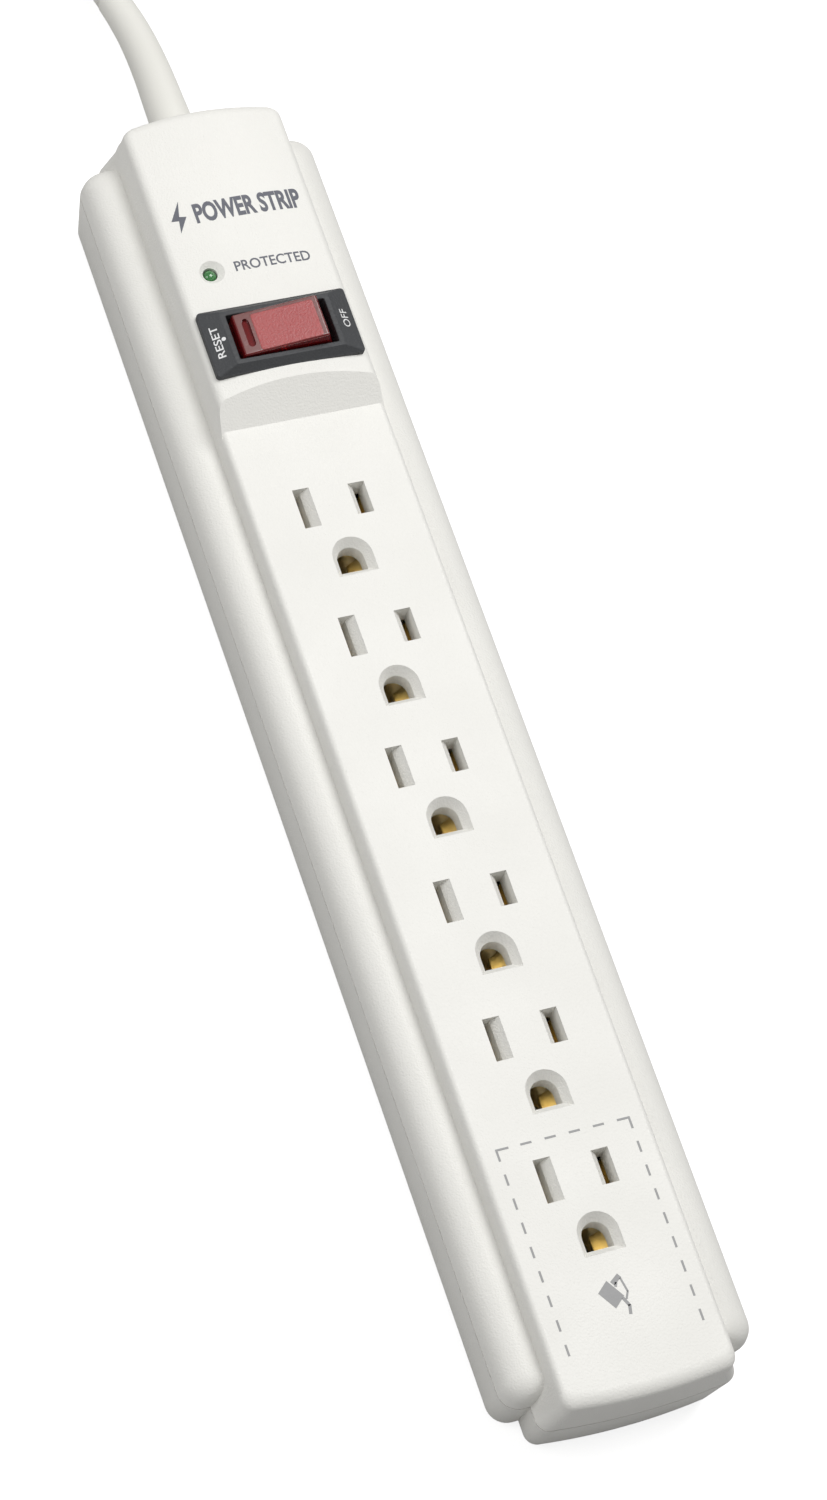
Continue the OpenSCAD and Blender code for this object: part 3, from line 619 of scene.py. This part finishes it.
# ---------------------------------------- Top cover
# The upper half of the shell, from the seam up: rounded rails, the outlet deck and the higher crowned deck
# for the switch, in one moulding. An outlet has two slots with a ramped lead-in and an arched ground hole.
# The deck's and the crown's widths are halves.
RAIL_Z, DECK_Z = 20, 24.5
RAIL_ROUND, DECK_ROUND = 5.5, 2
DECK_W, DECK_LEAN = 17.6, 0.086
CROWN_Z, CROWN_DROP = 29.2, 1.15
CROWN_W, CROWN_ROUND = 14.9, 2
SLOPE_Y, SLOPE_ANGLE = 67.4, 34
OUTLETS = [47.9 - 28.6 * i for i in range(6)]
GROUND_DROP = 11.9
SLOT_IN, SLOT_RAMP, SLOT_OUT, RAMP_H = 3.925, 5.4, 7.35, 2.1
LONG_SLOT, SHORT_SLOT = 8.6, 6.9
BEZEL_Y = 84.35
LAMP_X, LAMP_Y, LAMP_R = -9.4, 100.6, 1.55


def crown_height(x):
    """The switch deck is a shallow arch across: its height falls with the square of x."""
    return CROWN_Z - CROWN_DROP * (np.asarray(x, float) / 15) ** 2


def rail_skin():
    """The rails' skin: straight up from the seam and over a rounding of RAIL_ROUND."""
    top = [
        (RAIL_Z - drop, RAIL_W - 0.1 - RAIL_ROUND * draw, RAIL_L - 0.1 - 3.4 * draw, RAIL_CORNER - draw, 0)
        for drop, draw in rounding(RAIL_ROUND, 14)
    ]
    points, faces = stacked(seam_slices(RAIL_W, RAIL_L, RAIL_CORNER, 0, 1) + top)
    return points + (0, RAIL_SHIFT, 0), faces


def deck_skin():
    """The centre body's skin: walls that lean in to the top of the rails and on up to the rounded deck."""
    wall_top = DECK_Z - DECK_ROUND
    wall_w = DECK_W - DECK_LEAN * (wall_top - RAIL_Z)
    top = [
        (DECK_Z - drop, wall_w - 1.3 * draw, BODY_L - 0.3 - 2.8 * draw, BODY_CORNER - 0.6 * draw, END_BOW)
        for drop, draw in rounding(DECK_ROUND, 10)
    ]
    low = seam_slices(BODY_W, BODY_L, BODY_CORNER, END_BOW, 1)
    return stacked(low + [(RAIL_Z, DECK_W, BODY_L - 0.2, BODY_CORNER, END_BOW)] + top)


def crown_skin():
    """The switch block: a section of walls, roundings and arch, carried along Y. A quarter circle draws it
    in at the end, and the last sections curve back by the end's bow."""
    a = np.linspace(0, math.pi / 2, 9)
    arch = np.linspace(CROWN_W, -CROWN_W, 25)[1:-1]
    round_z = crown_height(CROWN_W) - CROWN_ROUND + CROWN_ROUND * np.sin(a)
    edge = np.stack([CROWN_W + 1.95 * np.cos(a), round_z], 1)
    right = np.vstack([[(DECK_W, RAIL_Z)], edge])
    section = np.vstack([right, np.stack([arch, crown_height(arch)], 1), right[::-1] * (-1, 1)])
    back = BODY_L - 0.35
    y = np.concatenate([[60, 90, 120], back - 2.4 + 2.4 * np.sin(a)])
    draw = np.concatenate([[0, 0, 0], 1 - np.cos(a)])
    x = section[None, :, 0] * (1 - draw[:, None] * 2.2 / 16.9)
    z = section[None, :, 1] - draw[:, None] * 2 * (section[None, :, 1] - RAIL_Z) / (CROWN_Z - RAIL_Z)
    depth = y[:, None] - END_BOW * (x / 17) ** 2 * (y[:, None] > 100)
    return skin(np.stack([x, depth, z], -1)[:, ::-1])


def slope_wedge():
    """The space above the slope in front of the switch."""
    rise = math.tan(math.radians(SLOPE_ANGLE))
    low, high = SLOPE_Y - 14, SLOPE_Y + 16
    foot = [(low, DECK_Z - 14 * rise), (high, DECK_Z + 16 * rise), (high, 50), (low, 50)]
    rings = [np.array([(x, y, z) for y, z in foot]) for x in (-24, 24)]
    return skin(np.stack(rings))


def slot_cut(side, y, length):
    """One blade slot: straight on the outside, and on the inside a ramp that ends RAMP_H below the deck."""
    shape = np.array([
        (SLOT_OUT, 18), (SLOT_OUT, 26), (SLOT_IN, 26), (SLOT_IN, DECK_Z), (SLOT_RAMP, DECK_Z - RAMP_H),
        (SLOT_RAMP, 18),
    ])
    if side < 0:
        shape = shape[::-1] * (-1, 1)
    return prism(shape, y - length / 2, y + length / 2, "y")


def arch_outline(radius, flat, y):
    """A half circle on the side away from the flat, closed by a straight edge."""
    a = np.linspace(0, math.pi, 17)
    curve = np.stack([radius * np.cos(a), y + radius * np.sin(a)], 1)
    return np.vstack([[(radius, y - flat)], curve, [(-radius, y - flat)]])


def ground_cut(y):
    """The ground hole: an arch that widens evenly over its top 1.95, and goes straight down below."""
    levels = [(18, 2.75, 2.6), (DECK_Z - 1.95, 2.75, 2.6), (DECK_Z, 4.12, 3.97), (26, 5.17, 5.03)]
    rings = [np.column_stack([arch_outline(r, flat, y), np.full(19, z)]) for z, r, flat in levels]
    return skin(np.stack(rings))


def read_mesh(items, field):
    """One field of all of a mesh's points or faces, as an array of rows."""
    values = np.empty(len(items) * 3)
    items.foreach_get(field, values)
    return values.reshape(-1, 3)


def make_top_cover():
    """Three skins joined and hollowed, a guide block added under the outlets, then all openings cut."""
    crown = mesh_piece("crown", *crown_skin(), white)
    combine(crown, [slope_wedge()], "DIFFERENCE")
    crown_faces = [list(p.vertices) for p in crown.data.polygons]
    crown_part = (read_mesh(crown.data.vertices, "co") / MM, crown_faces)
    bpy.data.objects.remove(crown)
    cover = mesh_piece("top_shell", *rail_skin(), white)
    combine(cover, [deck_skin(), crown_part], "UNION")
    combine(cover, [
        block((-22.8, -129.2, 5), (22.8, 129.2, 17.8)), block((-15.2, -135.5, 5), (15.2, 135.5, 22.3)),
        block((-14.6, 73.4, 5), (14.6, 135.4, 26.2)),
    ], "DIFFERENCE")
    combine(cover, [block((-11, -115.1, 19.3), (11, 56.5, 23))], "UNION")
    slots = [slot_cut(-1, y, LONG_SLOT) for y in OUTLETS] + [slot_cut(1, y, SHORT_SLOT) for y in OUTLETS]
    grounds = [ground_cut(y - GROUND_DROP) for y in OUTLETS]
    deck = float(crown_height(LAMP_X))
    lamp_recess = [
        np.column_stack([round_of(LAMP_X, LAMP_Y, r, 48), np.full(48, deck + z)])
        for z, r in ((-0.9, 1.6), (0, 2.55), (0.9, 3.5))
    ]
    openings = [
        block((-13.7, BEZEL_Y - 6.7, 5), (13.7, BEZEL_Y + 6.7, 40)),
        prism(round_of(LAMP_X, LAMP_Y, LAMP_R, 32), 20, 40), skin(np.stack(lamp_recess)), cord_hole(),
    ]
    combine(cover, slots + grounds + openings, "DIFFERENCE")
    finish_moulding(cover)
    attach(cover, "housing")
    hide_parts("top_cover")


make_top_cover()


# ---------------------------------------- Switch bezel
# A charcoal frame moulded in hard plastic. Four sloping flanges rise from its thin rim to a ridge round the
# rocker's window, and its collar clips down through the deck.
ROCKER_Z = 27.4
WINDOW_W, WINDOW_L = 20.7, 10
RIM_W, RIM_L = 31.1, 14.9
RIDGE_W, RIDGE_L = 23, 12
RIM_Z, RIDGE_Z = 29.3, 30.75
COLLAR_W, COLLAR_L, COLLAR_Z = 27, 13, 20
PIN_R = 1
charcoal = moulded(
    "charcoal", (0.050, 0.052, 0.055), (0.064, 0.066, 0.070), 0.5, 0.8, 2000, 60, Specular_IOR_Level=0.3,
)


def make_bezel():
    """One closed loop of rounded rectangles: rim, flanges, ridge, window, collar and back to the rim. A
    level without a height lies on the crowned deck."""
    levels = [
        (RIM_W, RIM_L, 0.8, None), (RIM_W, RIM_L, 0.8, RIM_Z - 0.25),
        (RIM_W - 0.14, RIM_L - 0.14, 0.75, RIM_Z - 0.07), (RIM_W - 0.5, RIM_L - 0.5, 0.6, RIM_Z),
        (RIDGE_W + 0.3, RIDGE_L + 0.16, 0.35, RIDGE_Z - 0.12), (RIDGE_W, RIDGE_L, 0.3, RIDGE_Z - 0.02),
        (RIDGE_W - 0.3, RIDGE_L - 0.3, 0.25, RIDGE_Z + 0.03),
        (WINDOW_W + 0.4, WINDOW_L + 0.4, 0.35, RIDGE_Z + 0.05),
        (WINDOW_W + 0.1, WINDOW_L + 0.1, 0.3, RIDGE_Z - 0.03), (WINDOW_W, WINDOW_L, 0.3, RIDGE_Z - 0.25),
        (WINDOW_W, WINDOW_L, 0.3, COLLAR_Z), (COLLAR_W, COLLAR_L, 0.5, COLLAR_Z),
        (COLLAR_W, COLLAR_L, 0.5, None),
    ]
    rings = []
    for width, length, corner, z in levels:
        flat = rounded_box(width, length, corner)
        height = crown_height(flat[:, 0]) + 0.01 if z is None else np.full(len(flat), z)
        rings.append(np.column_stack([flat[:, 0], BEZEL_Y + flat[:, 1], height]))
    piece = mesh_piece("bezel", *skin(np.stack(rings), True), charcoal)
    combine(piece, [prism(round_of(0, ROCKER_Z, PIN_R, 24), BEZEL_Y - 9, BEZEL_Y + 9, "y")], "DIFFERENCE")
    finish_moulding(piece, 24)
    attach(piece, "housing")
    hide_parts("switch_bezel")


make_bezel()


# ---------------------------------------- Rocker
# A paddle of clear red plastic that rocks on a steel pin over its neon lamp. Its top has a frosted inlaid
# panel and, at the on end, a rounded recess as the mark. It stands tipped to the on side.
TILT = math.radians(7.9)
FACE_H = 5.0
PADDLE_L, PADDLE_EASE = 9.4, 0.4
MARK_X, MARK_HALF, MARK_R = -6.6, 2.45, 0.75
PANEL_X, PANEL_Y, PANEL_W, PANEL_L = 1.2, -0.3, 12.8, 8.2
clear_red = moulded(
    "clear_red", (0.30, 0.006, 0.008), (0.42, 0.010, 0.012), 0.10, 0.03, 500, 150,
    Coat_Weight=0.6, Coat_Roughness=0.03, Transmission_Weight=0.6, IOR=1.49,
)
smoky_red = moulded(
    "smoky_red", (0.17, 0.070, 0.066), (0.21, 0.085, 0.080), 0.25, 0.10, 900, 150,
    Coat_Weight=0.6, Coat_Roughness=0.12,
)
frosted_red = moulded(
    "frosted_red", (0.37, 0.075, 0.076), (0.43, 0.100, 0.098), 0.42, 0.6, 2400, 150,
    Subsurface_Weight=0.2, Subsurface_Radius=(0.002, 0.0005, 0.0005),
)


def tipped(points):
    """Turns level points about the rocker's pin to the on side: the left end down, the right end up."""
    p = np.asarray(points, float)
    x = p[:, 0] * math.cos(TILT) - p[:, 2] * math.sin(TILT)
    z = p[:, 0] * math.sin(TILT) + p[:, 2] * math.cos(TILT)
    return np.column_stack([x, p[:, 1] + BEZEL_Y, z + ROCKER_Z])


def eased(corners, radius):
    """A polygon whose corners become curves: each point is (1-t)^2 a + 2t(1-t) c + t^2 b, with a and b a
    radius away from the corner c along its two sides."""
    c = np.asarray(corners, float)
    t = np.linspace(0, 1, 5)[:, None]
    curves = []
    for before, corner, after in zip(np.roll(c, 1, axis=0), c, np.roll(c, -1, axis=0)):
        a = corner + radius * (before - corner) / np.linalg.norm(before - corner)
        b = corner + radius * (after - corner) / np.linalg.norm(after - corner)
        curves.append((1 - t) ** 2 * a + 2 * t * (1 - t) * corner + t**2 * b)
    return np.vstack(curves)


def paint_top(piece, body, top):
    """Gives the faces that look up and lie above the recess's floor the top's material, and the rest the
    body's."""
    piece.data.materials.append(body)
    piece.data.materials.append(top)
    faces = piece.data.polygons
    up = read_mesh(faces, "normal") @ (-math.sin(TILT), 0, math.cos(TILT))
    from_pin = read_mesh(faces, "center") / MM - (0, 0, ROCKER_Z)
    level = from_pin @ (-math.sin(TILT), 0, math.cos(TILT))
    faces.foreach_set("material_index", ((up > 0.9) & (level > FACE_H - 0.3)).astype(int))


def make_paddle():
    """An eased eight-sided section carried along Y and drawn in at both ends by a quarter circle, with the
    mark and the pin's hole cut."""
    section = eased([
        (-9.3, -2.6), (-2.6, -3.6), (2.6, -3.6), (9.3, -2.6), (9.6, 0.5), (8.7, FACE_H), (-8.7, FACE_H),
        (-9.6, 0.5),
    ], 0.45)
    a = np.linspace(0, math.pi / 2, 5)
    back, into = PADDLE_EASE * (1 - np.sin(a)), PADDLE_EASE * (1 - np.cos(a))
    y = np.concatenate([PADDLE_L / 2 - back[::-1], -PADDLE_L / 2 + back])
    shrink = np.concatenate([into[::-1], into])
    rings = []
    for level, inset in zip(y, shrink):
        x = section[:, 0] * (1 - inset / 9.3)
        z = section[:, 1] * (1 - inset / 4.4)
        rings.append(np.column_stack([x, np.full(len(x), level), z]))
    points, faces = skin(np.stack(rings))
    piece = mesh_piece("rocker_paddle", tipped(points), faces, None)
    turn = np.linspace(0, math.pi, 9)
    cap = MARK_R * np.stack([np.cos(turn), np.sin(turn)], 1)
    mark = np.vstack([cap + (0, MARK_HALF), -cap - (0, MARK_HALF)])
    recess, recess_faces = prism(mark + (MARK_X, 0), FACE_H - 0.6, FACE_H + 2)
    hole, hole_faces = prism(round_of(0, 0, PIN_R + 0.05, 24), -9, 9, "y")
    combine(piece, [(tipped(recess), recess_faces), (tipped(hole), hole_faces)], "DIFFERENCE")
    finish_moulding(piece, 26)
    paint_top(piece, clear_red, smoky_red)
    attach(piece, "rocker")
    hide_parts("rocker")


def make_panel():
    """The inlaid panel: rounded rectangles that rise just above the paddle's top, with an eased edge."""
    rings = []
    for inset, corner, z in ((0, 0.5, -0.2), (0, 0.5, 0.04), (0.2, 0.45, 0.1), (0.6, 0.4, 0.12)):
        shape = rounded_box(PANEL_W - inset, PANEL_L - inset, corner) + (PANEL_X, PANEL_Y)
        rings.append(np.column_stack([shape, np.full(len(shape), FACE_H + z)]))
    points, faces = skin(np.stack(rings))
    piece = mesh_piece("rocker_panel", tipped(points), faces, frosted_red)
    finish_moulding(piece, 40)
    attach(piece, "rocker")


make_paddle()
make_panel()


# ---------------------------------------- Printed marks
# Thin films of ink pad-printed on the deck and the bezel: the room kept for a wide plug round the last
# outlet, a small plug-in adapter, the legends of the lamp and the switch, and a plain maker's line.
INK, INK_SUNK = 0.04, 0.02
grey_ink = moulded("grey_ink", (0.30, 0.30, 0.30), (0.34, 0.34, 0.34), 0.55, 0.3, 1800, 400)
slate_ink = moulded("slate_ink", (0.105, 0.11, 0.135), (0.13, 0.135, 0.16), 0.55, 0.3, 1800, 400)
white_ink = moulded("white_ink", (0.82, 0.82, 0.82), (0.76, 0.76, 0.76), 0.5, 0.2, 1800, 400)


def deck_level(x, y):
    """The flat outlet deck."""
    return np.full(len(x), float(DECK_Z))


def switch_deck_level(x, y):
    """The crowned switch deck."""
    return crown_height(x)


def flange_level(x, y):
    """The bezel's left and right flanges, falling evenly from the ridge to the rim."""
    fall = (RIDGE_Z - RIM_Z) / ((RIM_W - 0.5 - RIDGE_W) / 2)
    return RIDGE_Z - 0.03 - fall * (np.abs(x) - RIDGE_W / 2)


def print_on(name, shapes, level, ink):
    """Joins flat films of ink into one piece. Each shape is (points in x and y, faces), and level(x, y) is
    the height of the surface below it. The films reach INK above that surface and INK_SUNK into it."""
    points, faces = [], []
    for flat, flat_faces in shapes:
        flat = np.asarray(flat, float)
        low, high = sum(map(len, points)), sum(map(len, points)) + len(flat)
        height = level(flat[:, 0], flat[:, 1])
        points += [np.column_stack([flat, height - INK_SUNK]), np.column_stack([flat, height + INK])]
        faces += [[high + k for k in face] for face in flat_faces]
        faces += [[low + k for k in face[::-1]] for face in flat_faces]
        edges = {(a, b) for face in flat_faces for a, b in zip(face, face[1:] + face[:1])}
        rim = sorted((a, b) for a, b in edges if (b, a) not in edges)
        faces += [[low + a, low + b, high + b, high + a] for a, b in rim]
    piece = mesh_piece(name, np.vstack(points), faces, ink, False)
    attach(piece, "housing")
    return piece


def bar(x0, y0, x1, y1, width):
    """A straight stroke between two points, as a flat shape."""
    along = np.subtract((x1, y1), (x0, y0)) / math.hypot(x1 - x0, y1 - y0)
    side = np.array((-along[1], along[0])) * width / 2
    corners = [(x0, y0) - side, (x1, y1) - side, (x1, y1) + side, (x0, y0) + side]
    return np.array(corners), [(0, 1, 2, 3)]


def patch(*corners):
    """A flat shape from its corners, anticlockwise."""
    return np.array(corners, float), [tuple(range(len(corners)))]


def word(text, height, width, start, turn=0, weight=0.0):
    """Flat letters of a cap height and a whole width. start is the left end of the baseline, turn is in
    quarter turns anticlockwise, and weight thickens the strokes."""
    curve = bpy.data.curves.new("letters", "FONT")
    curve.body = text
    curve.offset = weight
    curve.resolution_u = 4
    holder = bpy.data.objects.new("letters", curve)
    bpy.context.collection.objects.link(holder)
    bpy.context.view_layer.update()
    mesh = bpy.data.meshes.new_from_object(holder.evaluated_get(bpy.context.evaluated_depsgraph_get()))
    flat = read_mesh(mesh.vertices, "co")[:, :2]
    faces = [tuple(p.vertices) for p in mesh.polygons]
    bpy.data.objects.remove(holder)
    bpy.data.meshes.remove(mesh)
    low, high = flat.min(0), flat.max(0)
    flat = (flat - low) / (high - low) * (width, height)
    for _ in range(turn):
        flat = np.column_stack([-flat[:, 1], flat[:, 0]])
    area = sum(
        flat[a][0] * flat[b][1] - flat[b][0] * flat[a][1] for f in faces for a, b in zip(f, f[1:] + f[:1])
    )
    return flat + start, faces if area > 0 else [f[::-1] for f in faces]


def make_wide_plug_outline():
    """A dashed line on three sides of the last outlet, with a small angle at each far corner."""
    x, far, stroke, dash, pitch, across = 13.3, -87.3, 0.42, 2.2, 4.78, 4.85
    dashes = []
    for side in (-1, 1):
        dashes += [bar(side * x, far + 0.21, side * x, far - dash, stroke)]
        dashes += [bar(side * (x - 0.22), far, side * (x - dash - 0.2), far, stroke)]
        for k in range(1, 9):
            dashes += [bar(side * x, far - pitch * k, side * x, far - pitch * k - dash, stroke)]
    for k in range(1, 5):
        dashes += [bar(-x + across * k - 0.05, far, -x + across * k + dash - 0.05, far, stroke)]
    print_on("wide_plug_outline", dashes, deck_level, grey_ink)


def make_adapter_mark():
    """A plug-in adapter, tipped over, with its cord and a small plug on its other end."""
    shapes = [
        patch((-4.1, -118.0), (-1.8, -121.5), (0.5, -119.6), (-1.8, -116.1)),
        bar(-0.9, -116.9, 0.9, -115.7, 1.0), bar(-0.5, -117.6, -0.1, -116.8, 0.5),
        bar(0.9, -116.2, 1.45, -119.0, 0.38), bar(1.45, -118.9, 0.7, -120.3, 0.38),
        bar(0.1, -119.9, 0.9, -121.6, 0.6), bar(0.9, -121.4, 0.5, -123.2, 0.6),
    ]
    print_on("adapter_mark", shapes, deck_level, grey_ink)


def make_legends():
    """The lamp's word on the switch deck, two words and a dot on the bezel, and the maker's plain line."""
    protected = word("PROTECTED", 2.3, 16, (-4.4, 99.6), 0, 0.012)
    lamp_word = print_on("lamp_legend", [protected], switch_deck_level, slate_ink)
    reset = word("RESET", 1.5, 7.1, (-12.75, 80.7), 1, 0.01)
    off = word("OFF", 1.5, 4.1, (14.2, 82.5), 1)
    dot = patch(*round_of(-12.2, 84.5, 0.42, 20))
    legends = print_on("switch_legends", [reset, off, dot], flange_level, white_ink)
    bolt = patch(
        (-12.4, 110.6), (-10.3, 114.0), (-11.7, 114.3), (-10.9, 117.8), (-13.5, 113.6), (-12.0, 113.4),
    )
    words = word("POWER STRIP", 4.6, 22.5, (-8.6, 111.9), 0, 0.035)
    line = print_on("maker_line", [bolt, words], switch_deck_level, slate_ink)


make_wide_plug_outline()
make_adapter_mark()
make_legends()


# ---------------------------------------- Contact strips
# Two stamped brass strips under the blade slots and one under the ground holes. Pairs of spring leaves
# stand up from them at every outlet, and the rocker's lever is cut from the same brass.
brass = metal("contact_brass", (1.0, 0.84, 0.46), (0.96, 0.76, 0.36), 0.42)
finish_nodes(brass, "neutral_bus", "line_bus", "ground_bus", "contact_lever")


# ---------------------------------------- Switch works
# The closed box under the bezel, its tinned terminals, the steel pin that the rocker turns on, the nylon
# plunger in it and the small neon lamp that lights it.
black_box = moulded("black_box", (0.022, 0.022, 0.024), (0.030, 0.030, 0.032), 0.5, 0.3, 1500, 60)
tinned = metal("tinned", (0.72, 0.71, 0.68), (0.60, 0.59, 0.56), 0.38)
steel = metal("steel", (0.60, 0.61, 0.63), (0.50, 0.51, 0.53), 0.3)
nylon = moulded("nylon", (0.80, 0.79, 0.73), (0.75, 0.74, 0.67), 0.45, 0.1, 1200, 50)
neon_glass = moulded(
    "neon_glass", (0.90, 0.42, 0.20), (0.95, 0.52, 0.28), 0.06, 0.02, 600, 200, Coat_Weight=1.0,
)
finish_nodes(black_box, "switch_body")
finish_nodes(tinned, "terminal_in", "terminal_out", "terminal_lamp")
finish_nodes(steel, "rocker_pin")
finish_nodes(nylon, "plunger")
finish_nodes(neon_glass, "neon_lamp")


# ---------------------------------------- Status lamp
# A small green lens that stands in a shallow round recess in the deck, on a black spacer on the board.
lens_green = moulded(
    "lens_green", (0.035, 0.17, 0.045), (0.060, 0.24, 0.070), 0.08, 0.02, 600, 300,
    Coat_Weight=1.0, Coat_Roughness=0.02, Subsurface_Weight=0.3, Subsurface_Radius=(0.0004, 0.001, 0.0004),
)
finish_nodes(lens_green, "status_led")
finish_nodes(black_box, "led_holder")


# ---------------------------------------- Surge board
# A small green circuit board on four posts. It carries three disc varistors dipped in blue epoxy, a thermal
# fuse in a ceramic tube and a capacitor in a yellow box.
board_green = moulded("board_green", (0.015, 0.13, 0.040), (0.025, 0.19, 0.060), 0.35, 0.2, 700, 260)
varistor_blue = moulded("varistor_blue", (0.022, 0.090, 0.34), (0.030, 0.11, 0.40), 0.28, 0.25, 500, 120)
ceramic = moulded("ceramic", (0.74, 0.72, 0.66), (0.66, 0.64, 0.58), 0.6, 0.4, 1800, 120)
capacitor_yellow = moulded("capacitor_yellow", (0.72, 0.46, 0.06), (0.64, 0.40, 0.05), 0.4, 0.2, 1400, 80)
finish_nodes(board_green, "surge_board")
finish_nodes(varistor_blue, "varistor_1", "varistor_2", "varistor_3")
finish_nodes(ceramic, "thermal_fuse")
finish_nodes(capacitor_yellow, "capacitor")


# ---------------------------------------- Wires
# Stranded wires in soft vinyl, soldered at their ends: black for the line, white for the neutral and green
# for the ground.
wire_black = moulded("wire_black", (0.016, 0.016, 0.017), (0.026, 0.026, 0.028), 0.4, 0.1, 900, 60)
wire_white = moulded("wire_white", (0.78, 0.78, 0.76), (0.70, 0.70, 0.68), 0.4, 0.1, 900, 60)
wire_green = moulded("wire_green", (0.025, 0.22, 0.050), (0.035, 0.28, 0.065), 0.4, 0.1, 900, 60)
finish_nodes(wire_black, "wire_line_in", "wire_line")
finish_nodes(wire_white, "wire_neutral")
finish_nodes(wire_green, "wire_ground")


# ---------------------------------------- Fixings
# Six plated self-tapping screws hold the covers together from below, and two more hold a nylon bar down on
# the cord's end.
finish_nodes(steel, "clamp_screw_1", "clamp_screw_2", *[f"screw_{k}" for k in range(1, 7)])
finish_nodes(nylon, "cord_clamp")
finish_nodes(vinyl, "cord_end")


# ---------------------------------------- Rating label
# A foil label in a shallow recess underneath. Rows of plain printed blocks stand in for the ratings, which
# aren't given.
FOIL = (0.62, 0.62, 0.61)


def make_label_foil():
    """Foil with rows of grey blocks: the bricks of a brick pattern whose mortar is the foil."""
    material, nodes, links, shader = look("label_foil", 0.4, FOIL, Metallic=0.6)
    place = nodes.new("ShaderNodeTexCoord")
    rows = nodes.new("ShaderNodeTexBrick")
    rows.inputs["Color1"].default_value = (0.16, 0.16, 0.17, 1)
    rows.inputs["Color2"].default_value = (0.30, 0.30, 0.31, 1)
    rows.inputs["Mortar"].default_value = (*FOIL, 1)
    rows.inputs["Scale"].default_value = 90
    rows.inputs["Mortar Size"].default_value = 0.04
    rows.inputs["Brick Width"].default_value = 0.31
    rows.inputs["Row Height"].default_value = 0.17
    links.new(place.outputs["Object"], rows.inputs["Vector"])
    links.new(rows.outputs["Color"], shader.inputs["Base Color"])
    return material


finish_nodes(make_label_foil(), "rating_label")
